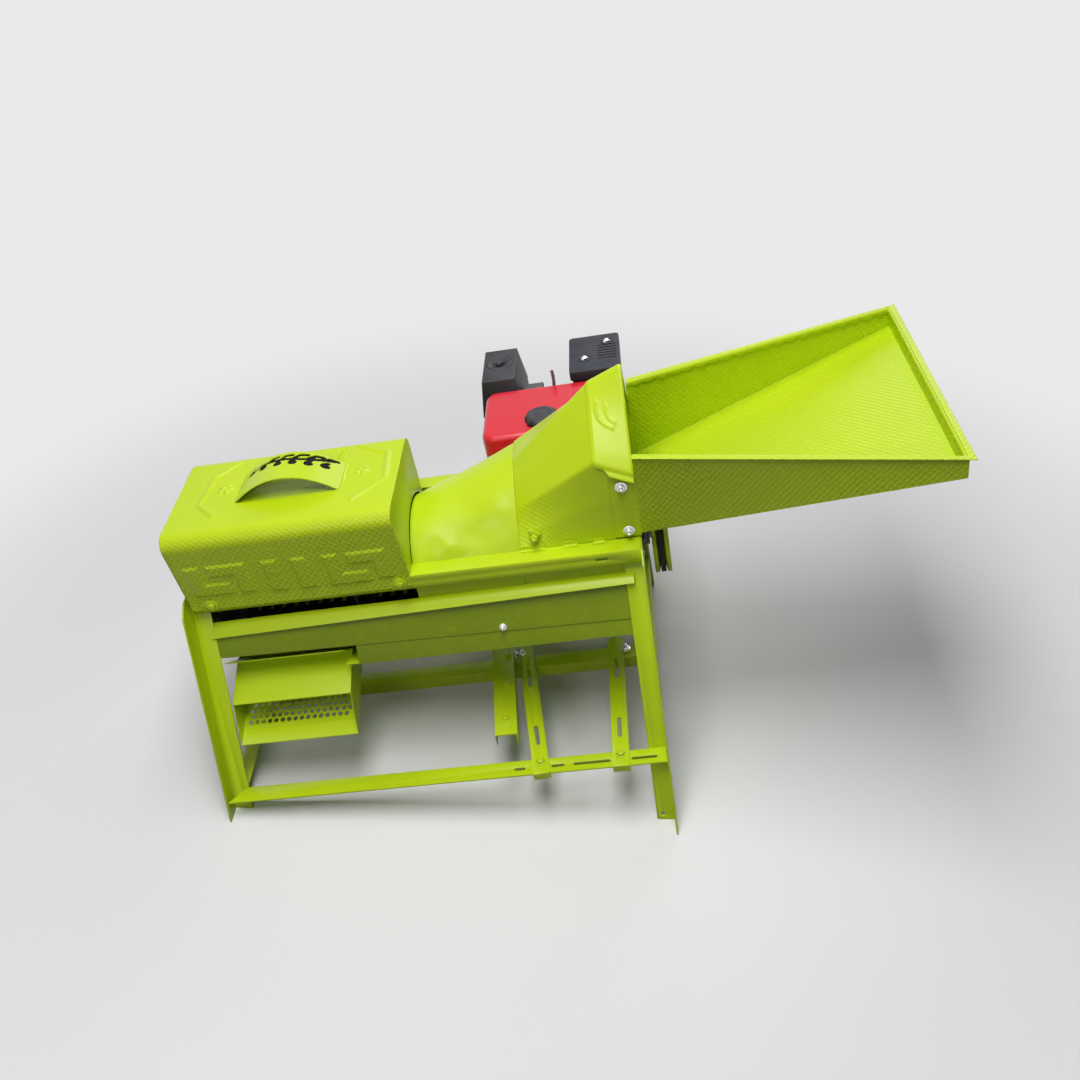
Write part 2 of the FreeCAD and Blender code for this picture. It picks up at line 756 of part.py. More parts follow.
def make_pulley(y, z, radius, holes):
    """Return the two pressed halves of a belt pulley about a shaft that runs along X."""
    wheel = rod(vec(pulley_start, y, z), vec(pulley_end, y, z), radius)
    bore = rod(vec(pulley_start - overrun, y, z), vec(pulley_end + overrun, y, z), shaft_radius)
    floor = radius - groove_depth
    section = [vec(pulley_mid - groove_mouth / 2, y, z + radius),
               vec(pulley_mid - groove_floor / 2, y, z + floor),
               vec(pulley_mid + groove_floor / 2, y, z + floor),
               vec(pulley_mid + groove_mouth / 2, y, z + radius)]
    face = Part.Face(Part.makePolygon(section + [section[0]]))
    groove = face.revolve(vec(0, y, z), vec(1, 0, 0), 360)
    cutters = [bore, groove]
    hub = (shaft_radius + floor) / 2
    for step in range(holes):
        turn = 2 * pi * step / holes
        at = vec(0, y + hub * cos(turn), z + hub * sin(turn))
        cutters.append(rod(at + vec(pulley_start - overrun, 0, 0), at + vec(pulley_end + overrun, 0, 0),
                           spoke_hole_radius))
    wheel = without(wheel, cutters)
    far = 2 * radius
    halves = [block(x0, x1, y - far, y + far, z - far, z + far)
              for x0, x1 in ((pulley_start, pulley_mid), (pulley_mid, pulley_end))]
    return Part.makeCompound([wheel.common(half) for half in halves])


def belt_loop(inset, half_width):
    """Return the solid inside the belt's loop, drawn in by an inset."""
    r1, r2 = drum_pulley_radius - inset, engine_pulley_radius - inset
    run_y, run_z = crank_y - drum_y, crank_z - drum_z
    span = sqrt(run_y ** 2 + run_z ** 2)
    heading = atan2(run_z, run_y)
    lift = pi / 2 - atan2(r1 - r2, sqrt(span ** 2 - (r1 - r2) ** 2))
    corners = []
    for y, z, radius, turn in ((drum_y, drum_z, r1, heading + lift), (crank_y, crank_z, r2, heading + lift),
                               (crank_y, crank_z, r2, heading - lift), (drum_y, drum_z, r1, heading - lift)):
        corners.append((y + radius * cos(turn), z + radius * sin(turn)))
    x0, x1 = pulley_mid - half_width, pulley_mid + half_width
    band = along_x(corners, x0, x1)
    wheels = [rod(vec(x0, y, z), vec(x1, y, z), radius) for y, z, radius in
              ((drum_y, drum_z, r1), (crank_y, crank_z, r2))]
    return joined([band] + wheels)


def make_belt():
    """Return the belt in the grooves of both pulleys."""
    half = groove_floor / 2 - belt_gap
    outer = belt_loop(belt_gap, half)
    inner = belt_loop(belt_gap + (groove_depth - 2 * belt_gap) ** 2 / groove_depth, half)
    return outer.cut(inner).removeSplitter()


# Covers


def cover_corners(thick):
    """Return the (y, z) corners of the cob cover's section, drawn in by a thickness."""
    top = rail_height + cover_height - thick
    lean = front_y - cover_sheet - cover_lean + thick
    back = front_y + cover_width - thick
    face = front_y - cover_sheet + thick
    return [(face, rail_height - cover_skirt), (face, rail_height),
            (lean, top), (back, top), (back, rail_height + cover_height - cover_back_drop)]


def cover_solid(thick, start, end, drop):
    """Return the solid inside one surface of the cob cover, with its two upper bends round."""
    corners = cover_corners(thick)
    if drop:
        corners = ([(corners[0][0], corners[0][1] - drop)] + corners[1:4]
                   + [(corners[4][0], corners[0][1] - drop)])
    body = along_x(corners, start, end)
    bends = []
    for edge in body.Edges:
        a, b = edge.Vertexes[0].Point, edge.Vertexes[-1].Point
        high = min(a.z, b.z) > rail_height + cover_height - 2 * cover_sheet
        if high and abs(a.x - b.x) > (end - start) / 2:
            bends.append(edge)
    return body.makeFillet(cover_bend - thick, bends)


def make_cover():
    """Return the cob cover: a bent sheet with a closed cob end that has an outlet window."""
    start, end = end_left, casing_start
    outer = cover_solid(0, start, end, 0)
    inner = cover_solid(cover_sheet, start + cover_sheet, end + overrun, overrun)
    deck = block(start - overrun, end + overrun, front_y, rear_y + overrun, 0, rail_height)
    shell = outer.cut(inner).cut(deck)
    low = rail_height
    window_start = front_y + cover_window_start
    window = block(start - overrun, start + overrun, window_start, window_start + cover_window_width, low,
                   low + cover_window_height)
    span = casing_start - end_left
    opening = block(start + span * handle_start_share, start + span * handle_end_share, handle_front,
                    handle_rear + handle_reach, rail_height + cover_height - overrun, rail_height + cover_height + overrun)
    return without(largest(shell), [window, opening] + cover_bolt_holes())


def make_handle():
    """Return the arched bridge pressed up out of the cover's top, which serves as its handle."""
    span = casing_start - end_left
    x0, x1 = end_left + span * handle_start_share, end_left + span * handle_end_share
    top = rail_height + cover_height
    low = top - cover_sheet
    chord = x1 - x0
    outer = []
    inner = []
    for step in range(handle_steps + 1):
        share = step / handle_steps
        rise = handle_rise * 4 * share * (1 - share)
        outer.append((x0 + chord * share, top + rise))
        inner.append((x0 + cover_sheet + (chord - 2 * cover_sheet) * share, low + rise))
    return along_y(outer + inner[::-1], handle_front, handle_rear).removeSplitter()


def make_end_plate():
    """Return the plate in the cover's open end, notched round the drum's casing."""
    start, end = casing_start - cover_sheet, casing_start
    inner = cover_solid(cover_sheet, start, end, overrun)
    deck = block(start - overrun, end + overrun, 0, 2 * middle, -overrun, rail_height)
    notch = rod(vec(start - overrun, drum_y, drum_z), vec(end + overrun, drum_y, drum_z), casing_radius + notch_gap)
    return largest(without(inner, [deck, notch]))


def cover_bolt_places():
    """Return the places of the bolts through the cover's skirt."""
    height = rail_height - cover_skirt / 2
    inset = leg_face + washer_radius / 2
    return [vec(end_left + inset, front_y - cover_sheet, height),
            vec(casing_start - inset / 2, front_y - cover_sheet, height)]


def hood_place(shares, height, thick):
    """Return the (y, z) corners of one section of the hood, drawn in towards its middle."""
    width = rear_inner - rail_inner
    mid = (rear_inner + rail_inner) / 2
    corners = []
    for across, up in shares:
        y = rail_inner + across * width
        z = rail_height + up * height
        pull = thick if y < mid else -thick
        if abs(across - 1 / 2) < thick / width:
            pull = 0
        corners.append((y + pull, z - (2 * thick if up > 0 else 0)))
    return corners


def make_hood():
    """Return the feed hood: a sheet from the casing's arch up to a gable over the tray's throat."""
    stations = ((hood_start, hood_start_shares, hood_start_height),
                (hood_shoulder, hood_shoulder_shares, hood_shoulder_height),
                (hood_end, hood_end_shares, hood_end_height))
    outer = loft([(x, hood_place(shares, height, 0)) for x, shares, height in stations])
    inner = loft([(x, hood_place(shares, height, hood_sheet)) for x, shares, height in stations])
    return largest(outer.cut(inner))


def tray_outline(inset):
    """Return the (x, y) corners of the feed tray, drawn in by an inset."""
    start, end = hood_end, hood_end + tray_length
    return [(start, middle - tray_throat_width / 2 + inset), (end - inset, middle - tray_mouth_width / 2 + inset),
            (end - inset, middle + tray_mouth_width / 2 - inset), (start, middle + tray_throat_width / 2 - inset)]


def tray_slab(inset, low_start, low_end, high_start, high_end):
    """Return the tray's plan between two sloping planes."""
    tall = along_z(tray_outline(inset), rail_height - overrun, rail_height + tray_mouth_rim + overrun)
    start, end = hood_end - overrun, hood_end + tray_length + overrun
    share = overrun / tray_length
    low0, low1 = (rail_height + low_start - share * (low_end - low_start),
                  rail_height + low_end + share * (low_end - low_start))
    high0, high1 = (rail_height + high_start - share * (high_end - high_start),
                    rail_height + high_end + share * (high_end - high_start))
    wide = tray_mouth_width
    wedge = along_y([(start, low0), (end, low1), (end, high1), (start, high0)], middle - wide, middle + wide)
    return tall.common(wedge)


def make_tray():
    """Return the feed tray: a sloping floor, three walls and a folded rim, open at the throat."""
    outer = tray_slab(tray_rim, tray_throat_floor, tray_mouth_floor, tray_throat_rim, tray_mouth_rim)
    inner = tray_slab(tray_rim + tray_sheet, tray_throat_floor + tray_sheet, tray_mouth_floor + tray_sheet,
                      tray_throat_rim + overrun, tray_mouth_rim + overrun)
    rim = tray_slab(0, tray_throat_rim - tray_sheet, tray_mouth_rim - tray_sheet, tray_throat_rim, tray_mouth_rim)
    hole = tray_slab(tray_rim + tray_sheet, tray_throat_floor, tray_mouth_floor, tray_throat_rim + overrun,
                     tray_mouth_rim + overrun)
    return largest(joined([outer.cut(inner), rim.cut(hole)]))


def cover_bolt_holes():
    """Return the cutters of the holes for the cover's bolts, through the skirt and the rail."""
    return [rod(place - vec(0, overrun / 2, 0), place + vec(0, overrun / 2, 0), bolt_radius + bolt_fit)
            for place in cover_bolt_places()]


def make_sheet_bolts():
    """Return the bolts through the cover's skirt and the front rail."""
    bolts = [hex_bolt(place, (0, -1, 0), cover_sheet + 2 * angle_sheet) for place in cover_bolt_places()]
    return Part.makeCompound(bolts)


# Kernels


def lean_sheet_solid(outline, back):
    """Return a sheet behind the front legs from (x, z) corners in their plane."""
    gap = lean_sheet + back
    points = [vec(x, leg_y(z) + gap, z) for x, z in outline]
    return solid_of(points, vec(0, panel_sheet / cos(radians(leg_splay)), 0))


def panel_top(x):
    """Return the height of the front panel's lip at a place along the machine."""
    share = (x - angle_sheet) / (end_right - angle_sheet)
    return panel_top_left + (panel_top_right - panel_top_left) * share


def make_front_panel():
    """Return the front panel below the top rail: a leaning sheet with a lip that slopes back."""
    x0, x1 = angle_sheet, end_right
    sheet = lean_sheet_solid([(x0, panel_foot_left), (x1, panel_foot_right), (x1, panel_top_right),
                              (x0, panel_top_left)], 0)
    start, end = end_left + angle_sheet, end_right - angle_sheet
    back = drum_y - casing_radius - running_gap
    wires = []
    for x, rise in ((start, panel_lip_rise_left), (end, panel_lip_rise_right)):
        z = panel_top(x)
        y = leg_y(z) + lean_sheet
        corners = [vec(x, y, z), vec(x, y, z - panel_sheet), vec(x, back, z + rise - panel_sheet),
                   vec(x, back, z + rise)]
        wires.append(Part.makePolygon(corners + [corners[0]]))
    lip = Part.makeLoft(wires, True, True)
    return joined([sheet, lip])


def make_lower_panel():
    """Return the lower panel behind the front one, from the chute to the feed end."""
    behind = panel_sheet / cos(radians(leg_splay))
    return lean_sheet_solid([(lower_start, lower_foot), (end_right, lower_foot), (end_right, lower_top),
                             (lower_start, lower_top)], behind)


def make_pan():
    """Return the pan under the drum: a valley sheet whose rear wall leans with the rear legs."""
    start, end = end_left + angle_sheet, end_right - angle_sheet
    gap = lean_sheet
    foot = lower_foot
    behind = 2 * panel_sheet / cos(radians(leg_splay))
    rear_top = panel_top_left
    wall = panel_sheet / cos(radians(leg_splay))
    rear = [(rear_leg_y(rear_top) - gap, rear_top), (rear_leg_y(foot) - gap, foot),
            (pan_valley_back, pan_valley), (pan_valley_back, pan_valley + panel_sheet),
            (rear_leg_y(foot) - gap - wall, foot + panel_sheet), (rear_leg_y(rear_top) - gap - wall, rear_top)]
    front_y0 = leg_y(foot) + gap + behind
    front = [(front_y0, foot), (pan_valley_back, pan_valley), (pan_valley_back, pan_valley + panel_sheet),
             (front_y0 + splay * panel_sheet, foot + panel_sheet)]
    chute_end = chute_start + chute_width
    return joined([along_x(rear, start, end), along_x(front, chute_end, end)])


def chute_floor(y):
    """Return the height of the chute's floor at a depth."""
    share = (y - chute_mouth_foot_front) / (pan_valley_back - chute_mouth_foot_front)
    return chute_mouth_foot + (pan_valley - chute_mouth_foot) * share


def chute_roof(y):
    """Return the height of the top of the chute's roof at a depth."""
    share = (y - chute_mouth_top_front) / (chute_roof_back - chute_mouth_top_front)
    return chute_mouth_top + (chute_roof_height - chute_mouth_top) * share


def make_chute():
    """Return the kernel chute: roof, side walls and a plain strip of floor behind the mouth."""
    x0, x1 = chute_start, chute_start + chute_width
    up = chute_sheet
    ahead = chute_mouth_foot_front - overrun
    behind = pan_valley_back + overrun
    wall_top = drum_z - casing_radius
    outer = along_x([(chute_mouth_foot_front, chute_mouth_foot), (pan_valley_back, pan_valley),
                     (pan_valley_back, wall_top), (chute_roof_back, chute_roof_height),
                     (chute_mouth_top_front, chute_mouth_top)], x0, x1)
    inner = along_x([(ahead, chute_floor(ahead) + up), (behind, chute_floor(behind) + up),
                     (behind, chute_roof_height + overrun), (chute_roof_back - up, chute_roof_height + overrun),
                     (chute_roof_back - up, chute_roof(chute_roof_back - up) - up), (ahead, chute_roof(ahead) - up)],
                    x0 + up, x1 - up)
    lip_y = chute_mouth_foot_front + chute_lip
    bed = along_x([(lip_y, chute_floor(lip_y) - overrun), (behind, chute_floor(behind) - overrun),
                   (behind, chute_floor(behind) + overrun), (lip_y, chute_floor(lip_y) + 2 * up)], x0 + up, x1 - up)
    seat_z = panel_foot_right
    seat_y = leg_y(seat_z) + lean_sheet + panel_sheet / cos(radians(leg_splay))
    flap = along_x([(chute_roof_back, chute_roof_height), (seat_y, seat_z), (seat_y, seat_z - 2 * up),
                    (chute_roof_back - 2 * up, chute_roof(chute_roof_back - 2 * up))], x0, x1)
    return joined([without(outer, [inner, bed]), flap])


def make_screen():
    """Return the perforated plate that carries the kernels from the pan's valley to the chute's lip."""
    x0, x1 = chute_start + chute_sheet, chute_start + chute_width - chute_sheet
    y0, y1 = chute_mouth_foot_front + chute_lip, pan_valley_back
    low, high = chute_floor(y0), chute_floor(y1)
    plate = along_x([(y0, low), (y1, high), (y1, high + chute_sheet), (y0, low + chute_sheet)], x0, x1)
    columns = int((x1 - x0) / screen_pitch) - 1
    holes = []
    for row in range(screen_rows):
        shift = (row % 2) * screen_pitch / 2
        y = y0 + (row + 1) * screen_pitch * sin(pi / 3)
        for column in range(columns):
            x = x0 + (column + 1) * screen_pitch + shift
            z = chute_floor(y)
            if x < x1 - screen_pitch / 2:
                holes.append(rod(vec(x, y, z - screen_pitch), vec(x, y, z + screen_pitch), screen_hole_radius))
    return plate.cut(Part.makeCompound(holes)).removeSplitter()


# Engine


def engine_spans(shares):
    """Return the X, Y and Z ranges of an engine piece from its shares of the envelope."""
    (x0, x1), (y0, y1), (z0, z1) = shares
    return ((engine_left + x0 * engine_width, engine_left + x1 * engine_width),
            (engine_front + y0 * engine_depth, engine_front + y1 * engine_depth),
            (engine_base + z0 * engine_height, engine_base + z1 * engine_height))


def engine_block(shares):
    """Return the box of an engine piece."""
    (x0, x1), (y0, y1), (z0, z1) = engine_spans(shares)
    return block(x0, x1, y0, y1, z0, z1)


def rounded(shape, radius, keep):
    """Return the shape with the edges that a test keeps made round."""
    edges = [edge for edge in shape.Edges if keep(edge)]
    return shape.makeFillet(radius, edges)


def upright(edge):
    """Return whether an edge runs along Z."""
    a, b = edge.Vertexes[0].Point, edge.Vertexes[-1].Point
    return abs(a.x - b.x) + abs(a.y - b.y) < abs(a.z - b.z) / 2


def cylinder_box(start, length, half, x_shares):
    """Return a box along the tilted cylinder's axis."""
    x0 = engine_left + x_shares[0] * engine_width
    x1 = engine_left + x_shares[1] * engine_width
    body = block(x0, x1, crank_y + start, crank_y + start + length, crank_z - half, crank_z + half)
    body.rotate(vec(0, crank_y, crank_z), vec(1, 0, 0), cylinder_tilt)
    return body


def make_crankcase():
    """Return the crankcase with its base flange and the seat of the tank."""
    case = rounded(engine_block(crankcase_shares), edge_round, upright)
    whole = joined([engine_block(feet_shares), case, engine_block(tank_seat_shares)])
    x1 = engine_spans(crankcase_shares)[0][1]
    bore = rod(vec(x1 - 2 * overrun, crank_y, crank_z), vec(x1 + overrun, crank_y, crank_z), shaft_radius + shaft_fit)
    return without(whole, engine_bolt_holes() + [bore])


def make_cylinder():
    """Return the finned cylinder that leans back from the crankcase."""
    core = cylinder_box(cylinder_start, cylinder_length, cylinder_half * fin_core_share, cylinder_shares)
    pitch = (cylinder_length - fin_sheet) / (fin_count - 1)
    fins = [cylinder_box(cylinder_start + step * pitch, fin_sheet, cylinder_half, cylinder_shares)
            for step in range(fin_count)]
    return largest(joined([core] + fins).cut(engine_block(crankcase_shares)))


def make_head():
    """Return the cylinder head with its valve cover and spark plug."""
    start = cylinder_start + cylinder_length
    head = cylinder_box(start, head_length, cylinder_half, cylinder_shares)
    cover = cylinder_box(start + head_length, valve_cover_length, cylinder_half * valve_cover_share, cylinder_shares)
    x0 = engine_left + cylinder_shares[0] * engine_width
    turn = radians(cylinder_tilt)
    reach = start + head_length / 2
    at = vec(x0, crank_y + reach * cos(turn), crank_z + reach * sin(turn))
    plug = rod(at, at - vec(2 * plug_radius, 0, 0), plug_radius)
    return joined([head, cover, plug])


def make_shroud():
    """Return the fan shroud beside the crankcase."""
    return rounded(engine_block(shroud_shares), edge_round, lambda edge: upright(edge)
                   and edge.CenterOfMass.x < engine_spans(shroud_shares)[0][1] - edge_round)


def make_recoil():
    """Return the round cover of the pull starter."""
    x0, x1 = (engine_left + share * engine_width for share in recoil_shares)
    cover = rod(vec(x0, crank_y, crank_z), vec(x1, crank_y, crank_z), recoil_radius)
    slots = []
    low, high = (recoil_radius * share for share in recoil_slot_shares)
    for step in range(recoil_slots):
        slot = block(x0 - overrun, x0 + (x1 - x0) / 2, crank_y + low, crank_y + high, crank_z - edge_round / 2,
                     crank_z + edge_round / 2)
        slot.rotate(vec(0, crank_y, crank_z), vec(1, 0, 0), 360 * (step + 1 / 2) / recoil_slots)
        slots.append(slot)
    return without(cover, slots)


def make_recoil_handle():
    """Return the grip of the pull starter, at rest on its cover."""
    x = engine_left + recoil_shares[0] * engine_width - recoil_handle_radius
    z = crank_z + recoil_handle_height
    half = recoil_handle_length / 2
    return rod(vec(x, crank_y - half, z), vec(x, crank_y + half, z), recoil_handle_radius)


def make_tank():
    """Return the fuel tank, a round-cornered box."""
    body = engine_block(tank_shares)
    top = engine_spans(tank_shares)[2][1]
    tall = rounded(body, tank_round, upright)
    return rounded(tall, edge_round * 3 / 2, lambda edge: edge.CenterOfMass.z > top - edge_round / 4)


def cap_centre():
    """Return the place of the fuel cap on the tank's top."""
    x = engine_left + cap_place_shares[0] * engine_width
    y = engine_front + cap_place_shares[1] * engine_depth
    return vec(x, y, engine_spans(tank_shares)[2][1])


def make_cap():
    """Return the fuel cap with its scalloped edge."""
    at = cap_centre()
    up = vec(0, 0, cap_height)
    cap = rod(at, at + up, cap_radius)
    lobes = []
    for step in range(cap_lobes):
        turn = 2 * pi * step / cap_lobes
        side = vec(cap_radius * cos(turn), cap_radius * sin(turn), 0)
        lobes.append(rod(at + side, at + side + up * 2, cap_lobe_radius))
    return without(cap, lobes)


def make_filter_cover():
    """Return the air filter's cover: a box with a slight draft and a round dish in its top."""
    (x0, x1), (y0, y1), (z0, z1) = engine_spans(filter_cover_shares)
    draft = filter_cover_draft_share * engine_width
    low = [vec(x0, y0, z0), vec(x1, y0, z0), vec(x1, y1, z0), vec(x0, y1, z0)]
    high = [vec(x0 + draft, y0 + draft, z1), vec(x1 - draft, y0 + draft, z1), vec(x1 - draft, y1 - draft, z1),
            vec(x0 + draft, y1 - draft, z1)]
    wires = [Part.makePolygon(ring + [ring[0]]) for ring in (low, high)]
    body = Part.makeLoft(wires, True, True)
    at = knob_centre()
    dish = rod(at, at + vec(0, 0, overrun), filter_dish_radius)
    return body.cut(dish)


def knob_centre():
    """Return the place of the filter's wing nut, on the floor of the cover's dish."""
    x = engine_left + filter_knob_shares[0] * engine_width
    y = engine_front + filter_knob_shares[1] * engine_depth
    return vec(x, y, engine_spans(filter_cover_shares)[2][1] - filter_dish_depth)


def make_knob():
    """Return the wing nut of the air filter's cover."""
    at = knob_centre()
    stem = rod(at, at + vec(0, 0, knob_height), knob_radius)
    wing = block(at.x - knob_wing, at.x + knob_wing, at.y - knob_sheet / 2, at.y + knob_sheet / 2,
                 at.z + knob_height / 3, at.z + knob_height)
    return joined([stem, wing])


def make_muffler():
    """Return the muffler with the stub that joins it to the cylinder head."""
    body = joined([engine_block(muffler_shares), engine_block(muffler_stub_shares)])
    head = cylinder_box(cylinder_start, cylinder_length + head_length + valve_cover_length, cylinder_half,
                        cylinder_shares)
    return largest(body.cut(head))


def make_muffler_cover():
    """Return the muffler's guard with its louvres."""
    (x0, x1), (y0, y1), (z0, z1) = engine_spans(muffler_cover_shares)
    plate = rounded(engine_block(muffler_cover_shares), edge_round, upright)
    cutters = []
    left, right = (x0 + (x1 - x0) * share for share in louvre_across_shares)
    near, far = (y0 + (y1 - y0) * share for share in louvre_along_shares)
    for step in range(louvre_count):
        y = near + (far - near) * step / louvre_count
        cutters.append(block(left, right, y, y + louvre_width, (z0 + z1) / 2, z1 + overrun))
    return without(plate, cutters)


def throttle_pivot():
    """Return the place of the throttle lever's pivot, on the tank's rear wall."""
    across, up = throttle_place_shares
    x = engine_left + across * engine_width
    y = engine_spans(tank_shares)[1][1]
    z0, z1 = engine_spans(tank_shares)[2]
    return vec(x, y, z0 + up * (z1 - z0))


def make_throttle():
    """Return the upright throttle lever behind the tank."""
    at = throttle_pivot()
    hub = rod(at, at + vec(0, lever_width, 0), lever_width / 2)
    arm = block(at.x - lever_width / 2, at.x + lever_width / 2, at.y + lever_width - lever_sheet,
                at.y + lever_width, at.z, at.z + throttle_length)
    return joined([hub, arm])


def choke_pivot():
    """Return the place of the choke lever's pivot, on the carburettor's side."""
    (_, x1), (y0, y1), (z0, z1) = engine_spans(carburettor_shares)
    return vec(x1, (y0 + y1) / 2, (z0 + z1) / 2)


def make_choke():
    """Return the choke lever beside the carburettor."""
    at = choke_pivot()
    hub = rod(at, at + vec(2 * lever_sheet, 0, 0), lever_width / 2)
    arm = block(at.x + lever_sheet, at.x + 2 * lever_sheet, at.y - lever_width / 2, at.y + lever_width / 2, at.z,
                at.z + choke_length)
    return joined([hub, arm])


def switch_pivot():
    """Return the middle of the engine switch's rocker, on the shroud's front."""
    (x0, x1), (y0, _), (z0, z1) = engine_spans(shroud_shares)
    return vec((x0 + x1) / 2, y0 - switch_size / 4, z0 + switch_height_share * (z1 - z0))


def make_switch():
    """Return the rocker of the engine switch."""
    at = switch_pivot()
    pin = rod(at - vec(switch_size / 2, 0, 0), at + vec(switch_size / 2, 0, 0), switch_size / 4 - switch_gap)
    paddle = block(at.x - switch_size / 2, at.x + switch_size / 2, at.y - switch_size / 4, at.y, at.z,
                   at.z + switch_size / 2)
    return joined([pin, paddle])


def make_oil_plug():
    """Return the oil filler plug low on the crankcase's front."""
    (x0, x1), (y0, _), (z0, _) = engine_spans(crankcase_shares)
    at = vec((x0 + x1) / 2, y0, z0 + 2 * oil_plug_radius)
    return rod(at, at - vec(0, oil_plug_length, 0), oil_plug_radius)


def make_crankshaft():
    """Return the engine's output shaft from inside the crankcase to the pulley."""
    x1 = engine_spans(crankcase_shares)[0][1]
    return rod(vec(x1 - 2 * overrun + running_gap, crank_y, crank_z), vec(pulley_end, crank_y, crank_z), shaft_radius)


def make_pieces():
    """Return every piece of the machine by name, in the body frame."""
    pieces = make_legs()
    legs = list(pieces.values())
    left_legs = [pieces["front_left_leg"], pieces["rear_left_leg"]]
    rear_legs = [pieces["rear_left_leg"], pieces["rear_right_leg"]]
    front_rail = make_top_rail()
    pieces["top_rail_front"] = front_rail
    pieces["top_rail_rear"] = mirror_rear(front_rail)
    pieces["top_rail_left"] = make_end_rail()
    pieces["top_rail_right"] = make_end_rail_right()
    pieces["bottom_rail_front"] = make_low_rail(legs)
    pieces["bottom_rail_mid"] = make_mid_rail()
    side = make_side_rail(left_legs)
    pieces["side_rail_left"] = side
    pieces["side_rail_right"] = mirror_right(side)
    pieces["motor_bar_left"] = make_bar(*bar_ends[0])
    pieces["motor_bar_right"] = make_bar(*bar_ends[1])
    pieces["channel_bracket"] = make_channel()
    pieces["engine_rail_upper"] = make_engine_rail(engine_base - bracket_sheet, rear_legs)
    pieces["engine_rail_lower"] = make_engine_rail(engine_low_rail_height, rear_legs)
    pieces["engine_bracket"] = make_engine_bracket()
    pieces["frame_bolts"] = make_frame_bolts()
    pieces["drum_casing"] = largest(without(make_casing(), legs))
    pieces["concave_screen"] = make_concave()
    beaters = beater_places()
    pieces["drum_rotor"] = make_rotor(beaters)
    pieces["beater_bars"] = Part.makeCompound(beaters)
    pieces["rotor_shaft"] = make_shaft()
    pieces["bearing_left"] = make_bearing(end_left - bearing_width, end_left)
    pieces["bearing_right"] = make_bearing(end_right, end_right + bearing_width)
    pieces["drum_pulley"] = make_pulley(drum_y, drum_z, drum_pulley_radius, spoke_holes)
    pieces["cob_cover"] = make_cover()
    pieces["cover_handle"] = make_handle()
    pieces["cob_end_plate"] = make_end_plate()
    pieces["sheet_bolts"] = make_sheet_bolts()
    pieces["feed_hood"] = make_hood()
    pieces["hopper_tray"] = make_tray()
    pieces["front_panel"] = make_front_panel()
    pieces["lower_panel"] = make_lower_panel()
    pieces["kernel_pan"] = make_pan()
    for name in ("top_rail_left", "top_rail_right"):
        pieces[name] = largest(without(pieces[name], [pieces["front_panel"], pieces["lower_panel"]]))
    pieces["outlet_chute"] = make_chute()
    pieces["screen_plate"] = make_screen()
    pieces["crankcase"] = make_crankcase()
    pieces["cylinder_block"] = make_cylinder()
    pieces["cylinder_head"] = make_head()
    pieces["fan_shroud"] = make_shroud()
    pieces["recoil_cover"] = make_recoil()
    pieces["recoil_handle"] = make_recoil_handle()
    pieces["fuel_tank"] = make_tank()
    pieces["fuel_cap"] = make_cap()
    pieces["air_filter_base"] = engine_block(filter_base_shares)
    pieces["air_filter_cover"] = make_filter_cover()
    pieces["filter_knob"] = make_knob()
    pieces["carburettor"] = engine_block(carburettor_shares)
    pieces["muffler"] = make_muffler()
    pieces["muffler_cover"] = make_muffler_cover()
    pieces["throttle_lever"] = make_throttle()
    pieces["choke_lever"] = make_choke()
    pieces["engine_switch"] = make_switch()
    pieces["oil_plug"] = make_oil_plug()
    pieces["crankshaft"] = make_crankshaft()
    pieces["engine_pulley"] = make_pulley(crank_y, crank_z, engine_pulley_radius, 0)
    pieces["drive_belt"] = make_belt()
    return pieces


def stand(pieces):
    """Tilt the machine on its uneven feet and put the middle of its underside at the origin."""
    for shape in pieces.values():
        shape.rotate(vec(0, 0, 0), vec(0, 1, 0), -degrees(tilt))
    box = FreeCAD.BoundBox()
    for shape in pieces.values():
        box.add(shape.BoundBox)
    shift = vec(-(box.XMin + box.XMax) / 2, -(box.YMin + box.YMax) / 2, -box.ZMin)
    for shape in pieces.values():
        shape.translate(shift)
    return shift


def main():
    """Build, stand and write every piece."""
    os.makedirs("parts", exist_ok=True)
    pieces = make_pieces()
    shift = stand(pieces)
    for name, shape in pieces.items():
        shape.exportStep("parts/" + name + ".step")
    print("pieces", len(pieces), "shift", shift)


main()
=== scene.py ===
"""Looks of the corn threshing machine: paint, sheet forms, fasteners, engine trim, studio and camera."""
import json
import logging
import math
from dataclasses import dataclass
from enum import Enum
from functools import cache
from typing import Callable, Optional, Sequence, Union

import bmesh
import bpy
import numpy as np
from mathutils import Matrix


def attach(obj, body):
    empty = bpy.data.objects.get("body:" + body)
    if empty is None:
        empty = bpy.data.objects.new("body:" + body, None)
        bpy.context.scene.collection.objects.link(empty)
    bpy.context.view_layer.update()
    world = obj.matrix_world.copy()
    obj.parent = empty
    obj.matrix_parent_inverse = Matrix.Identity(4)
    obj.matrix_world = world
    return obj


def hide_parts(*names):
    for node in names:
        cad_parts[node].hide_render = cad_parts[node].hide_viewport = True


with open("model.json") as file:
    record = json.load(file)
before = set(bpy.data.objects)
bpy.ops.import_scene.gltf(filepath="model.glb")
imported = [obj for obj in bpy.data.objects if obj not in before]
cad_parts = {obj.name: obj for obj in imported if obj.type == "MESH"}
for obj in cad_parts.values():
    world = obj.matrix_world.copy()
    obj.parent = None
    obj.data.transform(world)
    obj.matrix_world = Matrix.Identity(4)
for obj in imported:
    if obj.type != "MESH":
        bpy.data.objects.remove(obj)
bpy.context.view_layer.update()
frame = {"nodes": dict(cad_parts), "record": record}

log = logging.getLogger("thresher")
Array = np.ndarray
Point = tuple[float, float, float]
Colour = tuple[float, float, float]
Line = Sequence[tuple[float, float]]
Piece = bpy.types.Object

